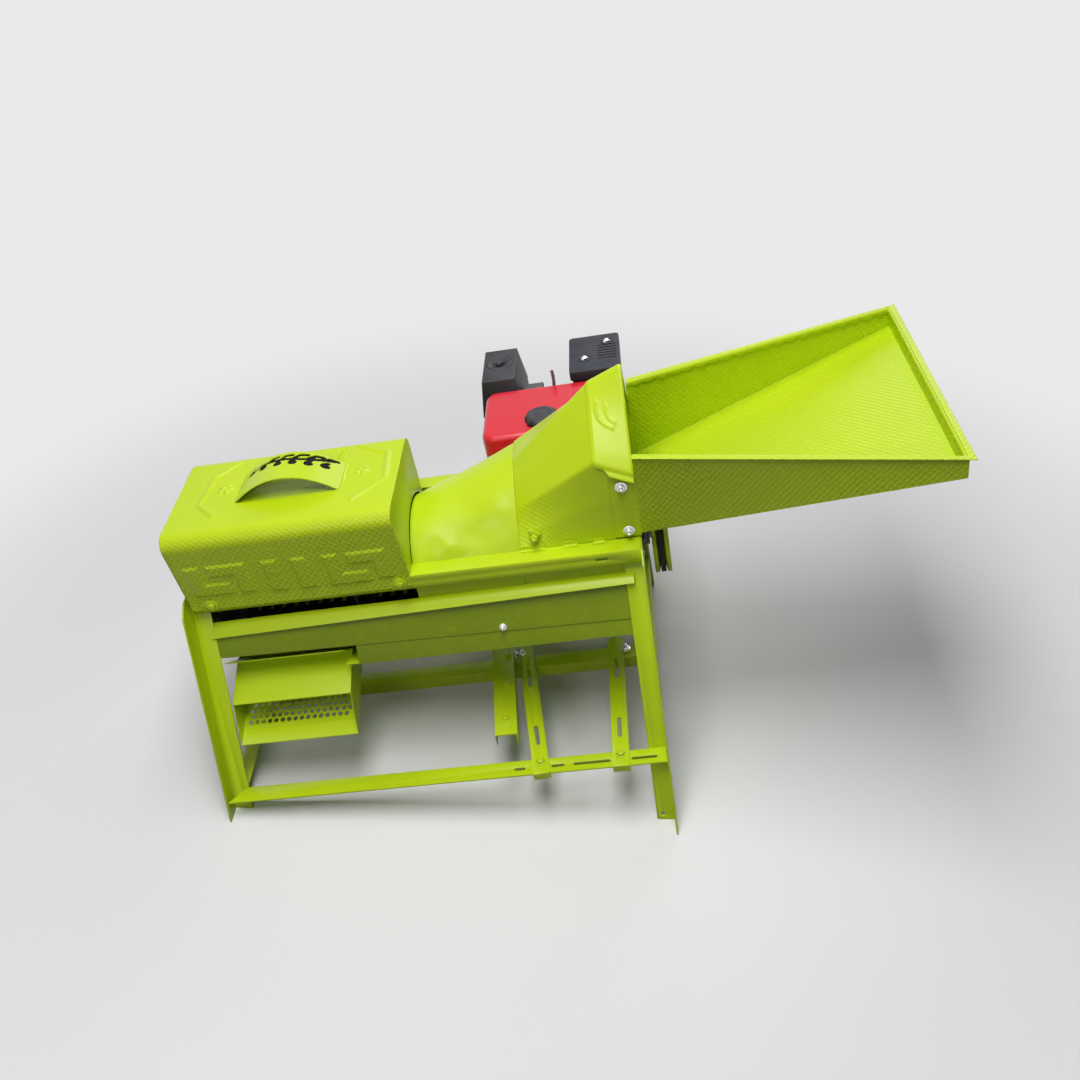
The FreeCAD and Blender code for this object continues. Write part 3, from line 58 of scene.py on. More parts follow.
METRE = 1000.0
WELD = 1e-6
FAR = 1e9
UPWARD, FORWARD, SIDEWAYS = (0, 0, 1), (0, -1, 0), (-1, 0, 0)


# The machine's own frame

@dataclass(frozen=True)
class Lean:
    """How the machine's own frame, in millimetres along its rails, stands in the row frame."""

    degrees: float = 6.698240
    shift: Point = (-634.368388, -353.816128, 35.754272)

    def world(self, points: Array) -> Array:
        """Turn points of the machine's frame into the row frame.

        Args:
            points: places in millimetres, with x, y and z on the last axis.

        Returns:
            The same places in metres: turned about Y by the lean, then shifted.
        """
        cosine, sine = math.cos(math.radians(self.degrees)), math.sin(math.radians(self.degrees))
        x, y, z = np.moveaxis(points, -1, 0)
        return (joined(x * cosine - z * sine, y, x * sine + z * cosine) + np.array(self.shift)) / METRE


LEAN = Lean()


def joined(*parts: Union[float, Array]) -> Array:
    """Return coordinates side by side on a last axis, each of them an array or one number for all."""
    return np.stack(np.broadcast_arrays(*parts), -1)


# Shader sums

class Sock:
    """One output of a node tree, so that shader sums read as Python sums."""

    def __init__(self, tree: "Tree", out: bpy.types.NodeSocket) -> None:
        """Keep the tree and the output."""
        self.tree = tree
        self.out = out

    def beside(self, output: Union[int, str]) -> "Sock":
        """Return another output of the same node."""
        return Sock(self.tree, self.out.node.outputs[output])

    def math(self, operation: str, *values: "Value") -> "Sock":
        """Return one Math node's result."""
        return self.tree.node("ShaderNodeMath", {"operation": operation}, dict(enumerate(values)))

    def __add__(self, other: "Value") -> "Sock":
        """Return self + other."""
        return self.math("ADD", self, other)

    def __radd__(self, other: "Value") -> "Sock":
        """Return other + self."""
        return self.math("ADD", other, self)

    def __sub__(self, other: "Value") -> "Sock":
        """Return self - other."""
        return self.math("SUBTRACT", self, other)

    def __mul__(self, other: "Value") -> "Sock":
        """Return self * other."""
        return self.math("MULTIPLY", self, other)

    def __rmul__(self, other: "Value") -> "Sock":
        """Return other * self."""
        return self.math("MULTIPLY", other, self)

    def sine(self) -> "Sock":
        """Return the sine of self."""
        return self.math("SINE", self)

    def size(self) -> "Sock":
        """Return self without its sign."""
        return self.math("ABSOLUTE", self)

    def ramp(self, low: float, high: float) -> "Sock":
        """Return 0 below low and 1 above high, with a soft step between."""
        settings = {"interpolation_type": "SMOOTHSTEP"}
        return self.tree.node("ShaderNodeMapRange", settings, {0: self, 1: low, 2: high, 3: 0.0, 4: 1.0})


Value = Union[float, Sock]


class Tree:
    """A node tree of a material or of the world, with one method that adds any node."""

    def __init__(self, owner: Union[bpy.types.Material, bpy.types.World]) -> None:
        """Empty the tree of a material or of the world."""
        self.owner = owner
        owner.use_nodes = True
        self.nodes = owner.node_tree.nodes
        self.links = owner.node_tree.links
        self.nodes.clear()

    def node(self, kind: str, settings: Optional[dict] = None, inputs: Optional[dict] = None,
             output: Union[int, str] = 0) -> Sock:
        """Add a node.

        Args:
            kind: Blender's name of the node type.
            settings: properties, set before the sockets.
            inputs: a value or a Sock for each socket's name or number.
            output: the name or number of the output to return.

        Returns:
            The chosen output.
        """
        made = self.nodes.new(kind)
        for key, value in (settings or {}).items():
            setattr(made, key, value)
        for key, value in (inputs or {}).items():
            if isinstance(value, Sock):
                self.links.new(value.out, made.inputs[key])
            else:
                made.inputs[key].default_value = value
        return Sock(self, made.outputs[output])

    def place(self) -> Sock:
        """Return the place on the piece in metres, turned to the machine's own axes."""
        raw = self.node("ShaderNodeTexCoord", output="Object")
        return self.node("ShaderNodeMapping", None, {"Vector": raw, "Rotation": (0.0, math.radians(LEAN.degrees), 0.0)})

    def parts(self, where: Sock) -> list[Sock]:
        """Return the x, y and z of a place."""
        apart = self.node("ShaderNodeSeparateXYZ", None, {0: where})
        return [apart.beside(number) for number in range(3)]

    def noise(self, where: Sock, scale: float, detail: float = 3.0, rough: float = 0.55) -> Sock:
        """Return noise from 0 to 1, with its grain's scale in grains for each metre."""
        return self.node("ShaderNodeTexNoise", None,
                         {"Vector": where, "Scale": scale, "Detail": detail, "Roughness": rough}, "Fac")

    def edge(self, low: float, high: float) -> Sock:
        """Return 1 on sharp outer edges and 0 elsewhere."""
        return self.node("ShaderNodeNewGeometry", output="Pointiness").ramp(low, high)

    def shade(self, factor: Value, first: Union[Colour, Sock], second: Union[Colour, Sock]) -> Sock:
        """Return two colours mixed by a factor."""
        pair = [one if isinstance(one, Sock) else (*one, 1.0) for one in (first, second)]
        return self.node("ShaderNodeMix", {"data_type": "RGBA"}, {0: factor, 6: pair[0], 7: pair[1]}, 2)

    def bump(self, height: Sock, distance: float, strength: float = 1.0, under: Optional[Sock] = None) -> Sock:
        """Return the normal over a height given in shares of a distance in metres."""
        inputs = {"Height": height, "Distance": distance, "Strength": strength}
        if under is not None:
            inputs["Normal"] = under
        return self.node("ShaderNodeBump", None, inputs, "Normal")

    def finish(self, colour: Sock, roughness: Sock, normal: Sock, fixed: dict) -> bpy.types.Material:
        """Return the material, closed with one Principled shader whose other inputs are fixed."""
        varied = {"Base Color": colour, "Roughness": roughness, "Normal": normal}
        self.close(self.node("ShaderNodeBsdfPrincipled", None, {**varied, **fixed}))
        return self.owner

    def close(self, shader: Sock, kind: str = "ShaderNodeOutputMaterial") -> None:
        """Link a shader to the surface of the tree's output."""
        end = self.nodes.new(kind)
        self.links.new(shader.out, end.inputs["Surface"])


# Finishes

class Press(Enum):
    """What the rolls of the sheet mill left on a painted sheet."""

    SMOOTH = "smooth"
    QUILTED = "quilted"


@dataclass(frozen=True)
class Finish:
    """What every finish has: a name, its colour and the colour of its clouds, which is dust, grime or deeper paint."""

    name: str
    colour: Colour
    clouds: Colour

    def start(self) -> tuple[Tree, Sock]:
        """Return the tree of a new material and the place on the piece."""
        tree = Tree(bpy.data.materials.new(self.name))
        return tree, tree.place()


@dataclass(frozen=True)
class Enamel(Finish):
    """Glossy sprayed enamel over sheet steel, with orange peel, dust, and pale edges that are partly worn paint and
    partly painted highlight.
    """

    # The pale colour of sharp edges and of the fine grain: on edges it is partly worn paint and partly a painted
    # highlight.
    wear_and_highlight: Colour
    press: Press = Press.SMOOTH
    pitch: float = 0.0125
    rough: float = 0.3
    coat: float = 0.1
    shine: float = 0.28

    def make(self) -> bpy.types.Material:
        """Return the material: clouded colour, grain, pale edges of wear and painted highlight, and bump from peel and
        from the pressed pattern.
        """
        tree, where = self.start()
        cloud = tree.noise(where, 5.0, 2.0)
        streak = tree.noise(where, 60.0, 4.0, 0.7)
        colour = tree.shade(cloud.ramp(0.35, 0.7) * 0.35, self.colour, self.clouds)
        colour = tree.shade(tree.noise(where, 900.0, 2.0).ramp(0.35, 0.8) * 0.06, colour, self.wear_and_highlight)
        # Sharp edges are lightened: partly worn paint, partly a painted highlight where the edges catch the light.
        colour = tree.shade(tree.edge(0.53, 0.62) * streak.ramp(0.5, 0.72) * 0.4, colour, self.wear_and_highlight)
        roughness = self.rough + 0.1 * cloud + 0.12 * streak.ramp(0.56, 0.75)
        normal = tree.bump(tree.noise(where, 330.0, 2.0), 0.00006, 0.6)
        if self.press is Press.QUILTED:
            x, y, z = tree.parts(where)
            quilted = tree.node("ShaderNodeAttribute", {"attribute_name": "quilt"}, output="Fac")
            up, along = (y + z) * (math.pi / self.pitch), x * (math.pi / self.pitch)
            wave = (along + up).sine().size() * (along - up).sine().size()
            normal = tree.bump(wave * quilted, 0.0009, 1.0, normal)
        return tree.finish(colour, roughness, normal, {"Coat Weight": self.coat, "Coat Roughness": 0.12,
                                                       "Specular IOR Level": self.shine})


@dataclass(frozen=True)
class Moulding(Finish):
    """Moulded black plastic with a fine spark-eroded grain and a little dust."""

    rough: float = 0.42

    def make(self) -> bpy.types.Material:
        """Return the material: dusty clouds over black, with grain in its bump and its roughness."""
        tree, where = self.start()
        cloud, grain = tree.noise(where, 22.0, 3.0), tree.noise(where, 1500.0, 2.0)
        colour = tree.shade(cloud.ramp(0.4, 0.75) * 0.35, self.colour, self.clouds)
        colour = tree.shade(tree.edge(0.53, 0.62) * 0.3, colour, self.clouds)
        return tree.finish(colour, self.rough + 0.16 * cloud + 0.08 * grain, tree.bump(grain, 0.00008, 0.7),
                           {"Specular IOR Level": 0.5})


@dataclass(frozen=True)
class Metal(Finish):
    """Bare or plated metal with a cast or a drawn surface, darker where oil and soot have settled."""

    grain: float
    depth: float
    rough: float
    metallic: float = 1.0
    shine: float = 0.5

    def make(self) -> bpy.types.Material:
        """Return the material: grime in clouds, bright edges, and a sandy or brushed bump."""
        tree, where = self.start()
        cloud, sand = tree.noise(where, 35.0, 4.0, 0.65), tree.noise(where, self.grain, 3.0)
        colour = tree.shade(cloud.ramp(0.45, 0.75) * 0.6, self.colour, self.clouds)
        bright = tuple(min(1.0, part * 1.35) for part in self.colour)
        colour = tree.shade(tree.edge(0.54, 0.62) * 0.4, colour, bright)
        return tree.finish(colour, self.rough + 0.18 * cloud + 0.08 * sand, tree.bump(sand, self.depth, 0.8),
                           {"Metallic": self.metallic, "Specular IOR Level": self.shine})


@dataclass(frozen=True)
class Rubber(Finish):
    """Vulcanised rubber of a drive belt, with cloth grain and chalky dust."""

    weave: float = 4200.0

    def make(self) -> bpy.types.Material:
        """Return the material: matt black with a woven bump of two crossed sines and dusty clouds."""
        tree, where = self.start()
        x, y, z = tree.parts(where)
        cloud = tree.noise(where, 60.0, 4.0)
        cloth = (y * self.weave).sine() * ((x + z) * self.weave).sine()
        colour = tree.shade(cloud.ramp(0.42, 0.7) * 0.4, self.colour, self.clouds)
        return tree.finish(colour, 0.72 + 0.15 * cloud, tree.bump(cloth, 0.0001, 0.5), {"Specular IOR Level": 0.35})


LIME = (0.56, 0.73, 0.004)
LIME_DEEP = (0.47, 0.64, 0.002)
# Pale lime of the enamel's edges: partly worn paint, partly the colour of a painted highlight.
LIME_WEAR_AND_HIGHLIGHT = (0.72, 0.84, 0.20)

FINISHES = {
    "lime": Enamel("lime_enamel", LIME, LIME_DEEP, LIME_WEAR_AND_HIGHLIGHT),
    # The darker green of the front and lower panels is painted shade: it stands in for the shadow under the lip.
    "lime_painted_shade": Enamel("lime_enamel_painted_shade", (0.24, 0.33, 0.004), (0.18, 0.26, 0.003), LIME_DEEP),
    "lime_quilted": Enamel("lime_enamel_quilted", LIME, LIME_DEEP, LIME_WEAR_AND_HIGHLIGHT, Press.QUILTED),
    "red": Enamel("red_enamel", (0.76, 0.012, 0.032), (0.62, 0.008, 0.02), (0.8, 0.16, 0.16), rough=0.24, coat=0.25),
    "plastic": Moulding("black_moulding", (0.016, 0.017, 0.021), (0.055, 0.06, 0.075)),
    "guard": Metal("blackened_guard", (0.03, 0.033, 0.045), (0.016, 0.016, 0.02), 700.0, 0.0001, 0.5, 0.35),
    "alloy": Metal("cast_alloy", (0.52, 0.53, 0.54), (0.3, 0.29, 0.27), 800.0, 0.00022, 0.42),
    "steel": Metal("plated_steel", (0.74, 0.75, 0.77), (0.5, 0.49, 0.46), 1400.0, 0.00004, 0.2),
    "dark_steel": Metal("dark_steel", (0.2, 0.2, 0.2), (0.1, 0.085, 0.07), 500.0, 0.00012, 0.45, 0.9),
    "dull_alloy": Metal("soot_alloy", (0.13, 0.13, 0.135), (0.07, 0.07, 0.07), 800.0, 0.0002, 0.5, 0.8),
    "zinc": Metal("zinc_lever", (0.2, 0.2, 0.205), (0.12, 0.12, 0.12), 1200.0, 0.00006, 0.3, 0.25),
    # Near-black sheet metal, painted shade: used on sheets and parts that stand where the machine is only in deep
    # shade.
    "shade_black": Metal("painted_shade_black", (0.02, 0.02, 0.021), (0.009, 0.009, 0.009), 500.0, 0.0001, 0.75, 0.0, 0.08),
    "rubber": Rubber("belt_rubber", (0.012, 0.012, 0.012), (0.06, 0.058, 0.052)),
}

SLOT_FINISH = {"green_paint": "lime", "red_paint": "red", "black_plastic": "plastic", "black_metal": "guard",
               "cast_alloy": "alloy", "steel": "steel", "dark_steel": "dark_steel", "rubber": "rubber"}
FINISH_SLOT = {finish: slot for slot, finish in SLOT_FINISH.items()}
FINISH_SLOT |= {"lime_quilted": "green_paint", "lime_painted_shade": "green_paint", "dull_alloy": "cast_alloy",
                "zinc": "steel", "shade_black": "dark_steel"}
# Nodes with their own finish: the front and lower panels in darker green, painted shade for the shadow under the lip;
# the concave screen in near-black, painted shade for the dark gap under the cover; the carburettor in dark alloy.
OWN_FINISH = {"front_panel": "lime_painted_shade", "lower_panel": "lime_painted_shade", "carburettor": "dull_alloy",
              "concave_screen": "shade_black"}
SLOT_OF = {one["node"]: one["material_slot"] for one in frame["record"]["subparts"] if "node" in one}
BODY_OF = {node: body for body, nodes in frame["record"]["behaviour"]["bodies"].items() for node in nodes}


@cache
def paint(finish: str) -> bpy.types.Material:
    """Return the material of a finish, made once."""
    return FINISHES[finish].make()


# Mesh work

def quads(rows: int, columns: int, around: bool = False) -> Array:
    """Return the corner numbers of a grid's faces, row by row.

    Args:
        rows: points along the first parameter.
        columns: points along the second parameter.
        around: whether the second parameter closes on itself.

    Returns:
        An array of four corners for each face.
    """
    wide = columns if around else columns - 1
    i, j = grid(np.arange(rows - 1), np.arange(wide))
    k = (j + 1) % columns
    return joined(i * columns + j, i * columns + k, (i + 1) * columns + k, (i + 1) * columns + j).reshape(-1, 4)


def grid(first: Array, second: Array) -> list[Array]:
    """Return two parameters spread over a grid, the first of them down its rows."""
    return np.meshgrid(first, second, indexing="ij")


def add(name: str, data: bpy.types.ID) -> Piece:
    """Return a new object of the scene for a mesh, a lamp or a camera."""
    piece = bpy.data.objects.new(name, data)
    bpy.context.scene.collection.objects.link(piece)
    return piece


def smooth(data: bpy.types.Mesh) -> None:
    """Shade a mesh smoothly."""
    data.polygons.foreach_set("use_smooth", np.ones(len(data.polygons), bool))
    data.update()


def mesh_of(name: str, points: Array, faces: Array, weld: bool = False) -> Piece:
    """Return an object with these points.

    Args:
        name: the piece's name.
        points: places in metres, with x, y and z on the last axis.
        faces: an array of corner numbers.
        weld: whether doubles are merged and the normals worked out again.

    Returns:
        The object, smooth shaded.
    """
    data = bpy.data.meshes.new(name)
    data.from_pydata(points.reshape(-1, 3).tolist(), [], faces.tolist())
    if weld:
        work = bmesh.new()
        work.from_mesh(data)
        bmesh.ops.remove_doubles(work, verts=work.verts, dist=WELD)
        bmesh.ops.dissolve_degenerate(work, edges=work.edges, dist=WELD / 10)
        bmesh.ops.recalc_face_normals(work, faces=work.faces)
        work.to_mesh(data)
        work.free()
    smooth(data)
    return add(name, data)


def sheet_of(name: str, points: Array, flip: bool = False, around: bool = False, weld: bool = False) -> Piece:
    """Return the surface over a grid of points.

    Args:
        name: the piece's name.
        points: places in millimetres of the machine's frame.
        flip: whether the faces are turned over.
        around: whether the second parameter closes on itself.
        weld: whether doubles are merged and the normals worked out again.

    Returns:
        The object.
    """
    faces = quads(*points.shape[:2], around)
    return mesh_of(name, LEAN.world(points), faces[:, ::-1] if flip else faces, weld)


def dress(piece: Piece, finish: str, *instead: str, body: str = "frame") -> None:
    """Give a piece its finish and its body, and the solids that it stands for.

    Args:
        piece: the object.
        finish: a name among the finishes.
        instead: the nodes that it replaces.
        body: the body that it rides on.
    """
    piece.data.materials.clear()
    piece.data.materials.append(paint(finish))
    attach(piece, body)
    if instead:
        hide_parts(*instead)
    log.info("%s: %d faces in %s on %s", piece.name, len(piece.data.polygons), finish, body)


def quilt(piece: Piece, values: Union[float, Array]) -> Piece:
    """Note on each vertex how deeply the quilted pattern is pressed there, from 0 to 1."""
    depth = piece.data.attributes.new("quilt", "FLOAT", "POINT")
    depth.data.foreach_set("value", np.full(len(piece.data.vertices), values, float))
    return piece


def thicken(piece: Piece, sheet: float) -> Piece:
    """Give a surface its wall, in millimetres, inward of its faces."""
    wall = piece.modifiers.new("wall", "SOLIDIFY")
    wall.thickness = sheet / METRE
    wall.offset = -1.0
    wall.use_even_offset = True
    return piece


def soften(piece: Piece, width: float, segments: int = 2) -> Piece:
    """Round a piece's edges by a width in millimetres where they turn by more than 32 degrees."""
    bevel = piece.modifiers.new("round", "BEVEL")
    bevel.width = width / METRE
    bevel.segments = segments
    bevel.limit_method = "ANGLE"
    bevel.angle_limit = math.radians(32.0)
    bevel.harden_normals = True
    bevel.use_clamp_overlap = True
    return piece


def smoothed_copy(node: str, width: float, segments: int = 2) -> Piece:
    """Return a merged copy of a node's mesh with its edges rounded by a width in millimetres."""
    data = frame["nodes"][node].data.copy()
    data.name = node + "_skin"
    work = bmesh.new()
    work.from_mesh(data)
    bmesh.ops.remove_doubles(work, verts=work.verts, dist=WELD)
    bmesh.ops.dissolve_limit(work, angle_limit=math.radians(0.6), verts=work.verts, edges=work.edges)
    work.to_mesh(data)
    work.free()
    smooth(data)
    return soften(add(node + "_skin", data), width, segments)


def dress_node(node: str, width: float, segments: int = 2) -> None:
    """Dress a node in a rounded copy of itself, in its own finish or else in its slot's."""
    finish = OWN_FINISH.get(node, SLOT_FINISH[SLOT_OF[node]])
    dress(smoothed_copy(node, width, segments), finish, node, body=BODY_OF[node])


def soft_step(value: Array, low: float, high: float) -> Array:
    """Return 0 below low, 1 above high, and 3t^2 - 2t^3 between."""
    share = np.clip((value - low) / (high - low), 0, 1)
    return share * share * (3 - 2 * share)


def bowed(share: Array) -> Array:
    """Return the parabola 4t(1 - t), which is 0 at both ends and 1 in the middle."""
    return 4 * share * (1 - share)


def off_line(u: Array, v: Array, line: Line) -> Array:
    """Return the distance to a broken line.

    Args:
        u, v: the surface's two coordinates in millimetres.
        line: the line's corners.

    Returns:
        The least distance to its runs: to each run's nearest point, at t = clip(p.d / d.d, 0, 1) along d.
    """
    far = np.full(u.shape, FAR)
    for (u0, v0), (u1, v1) in zip(line[:-1], line[1:]):
        du, dv = u1 - u0, v1 - v0
        share = np.clip(((u - u0) * du + (v - v0) * dv) / (du * du + dv * dv), 0, 1)
        far = np.minimum(far, np.hypot(u - u0 - share * du, v - v0 - share * dv))
    return far


def ribs(u: Array, v: Array, line: Line, half: float) -> Array:
    """Return the height from 0 to 1 of a rounded rib on a broken line: cos^2 of the distance over half its width."""
    return np.cos(np.clip(off_line(u, v, line) / half, 0, 1) * math.pi / 2) ** 2


def pierced(u: Array, v: Array, field: Callable[[Array, Array], Array]) -> tuple[Array, Array, Array]:
    """Cut a flat grid along the line where a field is zero.

    Args:
        u, v: the grid's coordinates along its two sides.
        field: gives millimetres inside the sheet as positive and inside a hole as negative.

    Returns:
        The points' u and v, with those at a cut moved on to its line by field over slope, and the kept faces.
    """
    probe, reach = 0.05, 1.2
    flat_u, flat_v = (side.ravel().copy() for side in grid(u, v))
    faces = quads(len(u), len(v))
    kept = field(flat_u[faces].mean(1), flat_v[faces].mean(1)) > 0
    touched, inside = np.zeros((2, flat_u.size), bool)
    touched[faces[~kept].ravel()] = True
    inside[faces[kept].ravel()] = True
    edge = touched & inside
    for _ in range(3):
        at_u, at_v = flat_u[edge], flat_v[edge]
        here = field(at_u, at_v)
        slope_u = (field(at_u + probe, at_v) - field(at_u - probe, at_v)) / (2 * probe)
        slope_v = (field(at_u, at_v + probe) - field(at_u, at_v - probe)) / (2 * probe)
        steep = np.maximum(slope_u ** 2 + slope_v ** 2, 0.2)
        flat_u[edge] -= np.clip(here * slope_u / steep, -reach, reach)
        flat_v[edge] -= np.clip(here * slope_v / steep, -reach, reach)
    return flat_u, flat_v, faces[kept]


def used(points: Array, faces: Array) -> tuple[Array, Array]:
    """Return only the points that a face uses, and the faces numbered anew."""
    wanted, fresh = np.unique(faces.ravel(), return_inverse=True)
    return points[wanted], fresh.reshape(faces.shape)


def unit(rows: Array) -> Array:
    """Return each row of an array with its length made one."""
    return rows / np.linalg.norm(rows, axis=-1, keepdims=True)


def axes_of(axis: Sequence[float]) -> tuple[Array, Array, Array]:
    """Return a direction of length one and two directions square to it."""
    main = unit(np.asarray(axis, float))
    other = np.array([0.0, 0.0, 1.0]) if abs(main[2]) < 0.9 else np.array([1.0, 0.0, 0.0])
    side = unit(np.cross(other, main))
    return main, side, np.cross(main, side)


def turned(name: str, profile: Line, at: Sequence[float], axis: Sequence[float], sides: int = 48,
           shape: Optional[Callable[[Array, Array], Array]] = None) -> Piece:
    """Return a profile carried round an axis.

    Args:
        name: the piece's name.
        profile: radius and height pairs, from the foot to the top.
        at: the foot's place.
        axis: the axis' direction.
        sides: points round the axis.
        shape: gives the radius' factor from the angle and the height.

    Returns:
        Each point is at + axis * height + radius * factor * (cos, sin) on the two square directions.
    """
    main, side, other = axes_of(axis)
    radius, height = np.array(profile, float).T
    r, a = grid(radius, np.arange(sides) * 2 * math.pi / sides)
    h = np.repeat(height[:, None], sides, 1)
    if shape is not None:
        r = r * shape(a, h)
    points = (np.asarray(at, float) + h[..., None] * main + (r * np.cos(a))[..., None] * side
              + (r * np.sin(a))[..., None] * other)
    return sheet_of(name, points, around=True, weld=True)


def carried(name: str, line: Array, section: Array) -> Piece:
    """Return a section carried along a line, with a cap on each end.

    Args:
        name: the piece's name.
        line: the line's points.
        section: across and up pairs of the section, which stays square to the line.

    Returns:
        Each point is the line's point + across * side + up * other, with the side level and square to the line.
    """
    ahead = unit(np.gradient(line, axis=0))
    up = np.array([0.0, 1.0, 0.0] if np.abs(ahead[:, 2]).max() > 0.9 else [0.0, 0.0, 1.0])
    side = unit(np.cross(up, ahead))
    top = np.cross(ahead, side)
    points = (line[:, None] + section[None, :, 0, None] * side[:, None] + section[None, :, 1, None] * top[:, None])
    ends = [np.repeat(end, len(section), 1) for end in (line[:1, None], line[-1:, None])]
    return sheet_of(name, np.concatenate([ends[0], points, ends[1]]), around=True, weld=True)


def oval(half_across: float, half_up: float, count: int) -> Array:
    """Return the points of an ellipse."""
    angle = np.arange(count) * 2 * math.pi / count
    return joined(half_across * np.cos(angle), half_up * np.sin(angle))


@dataclass(frozen=True)
class Bolt:
    """A hexagon bolt's head on its washer, with the thread's end where it has a stub."""

    flats: float
    head: float
    washer: float
    washer_sheet: float = 1.6
    stub: float = 0.0
    turns: int = 5

    def hexagon(self, angle: Array, height: Array) -> Array:
        """Return the factor from circle to hexagon, 1 / cos of the angle off a flat, faded out over the chamfer."""
        corner = 1 / np.cos((angle + math.pi / 6) % (math.pi / 3) - math.pi / 6)
        return 1 + (corner - 1) * (1 - soft_step(height, self.head * 0.7, self.head))

    def fit(self, name: str, at: Point, axis: Point, finish: str, *instead: str) -> None:
        """Make the washer, the head and the thread.

        Args:
            name: the piece's name.
            at: the place on the sheet that carries it.
            axis: the direction in which the head stands up.
            finish: the finish.
            instead: the nodes that it replaces.
        """
        main = axes_of(axis)[0]
        foot, rim, sheet = np.asarray(at, float), self.washer / 2, self.washer_sheet
        ring = [(0, -0.2), (rim - 0.5, -0.2), (rim, 0.3), (rim, sheet - 0.4), (rim - 0.5, sheet), (0, sheet)]
        dress(turned(name + "_washer", ring, foot, axis, 40), finish, *instead)
        half = self.flats / 2
        head = [(0, 0), (half, 0), (half, self.head * 0.72), (half * 0.93, self.head * 0.88), (half * 0.8, self.head),
                (0, self.head * 0.98)]
        dress(turned(name + "_head", head, foot + main * (sheet - 0.1), axis, 48, self.hexagon), finish, *instead)
        if self.stub:
            thread = [(0, 0), (half * 0.55, 0)]
            for turn in range(self.turns):
                low = self.stub * turn / self.turns
                thread += [(half * 0.55, low), (half * 0.49, low + self.stub / self.turns / 2)]
            thread += [(half * 0.5, self.stub), (0, self.stub)]
            dress(turned(name + "_thread", thread, foot + main * (sheet + self.head - 0.4), axis, 24), finish)

    def row(self, name: str, places: Sequence[Point], axis: Point, finish: str, *instead: str) -> None:
        """Fit one bolt at each place and number them."""
        for number, at in enumerate(places, 1):
            self.fit(f"{name}_{number}", at, axis, finish, *instead)


# Sub-assemblies

@dataclass
class Stand:
    """The angle-iron stand: legs, rails, bars and brackets, with the bolts that hold them."""

    fold: float = 1.1
    names: tuple[str, ...] = ("front_left_leg", "front_right_leg", "rear_left_leg", "rear_right_leg",
                              "top_rail_front", "top_rail_rear", "top_rail_left", "top_rail_right",
                              "bottom_rail_front", "bottom_rail_mid", "side_rail_left", "side_rail_right",
                              "motor_bar_left", "motor_bar_right", "channel_bracket", "engine_rail_upper",
                              "engine_rail_lower", "engine_bracket")
    bar_bolts: tuple[Point, ...] = ((619.0, -10.6, 4.0), (771.5, -10.6, 4.0))
    engine_bolts: tuple[Point, ...] = ((686.0, 518.5, 138.4), (686.0, 684.5, 138.4), (761.5, 518.5, 138.4),
                                       (761.5, 684.5, 138.4))
    bright_bolts: tuple[Point, ...] = ((556.0, 296.0, 0.2), (574.0, 294.0, 0.2), (793.0, 275.0, 4.2))
    bracket_bolts: tuple[Point, ...] = ((546.0, 262.0, 30.2), (552.0, 178.0, 30.2), (553.0, 84.0, 30.2))

    def build(self) -> None:
        """Dress each bar as a copy with rounded folds, then the painted and the bright bolts."""
        for name in self.names:
            dress_node(name, self.fold)
        plated = Bolt(12.0, 5.0, 19.0, stub=6.0)
        Bolt(13.0, 5.0, 20.0).row("bar_bolt", self.bar_bolts, UPWARD, "lime", "frame_bolts")
        plated.row("engine_bolt", self.engine_bolts, UPWARD, "steel", "frame_bolts")
        plated.row("rail_nut", self.bright_bolts, UPWARD, "steel")
        Bolt(11.0, 4.0, 16.0).row("bracket_bolt", self.bracket_bolts, UPWARD, "lime")


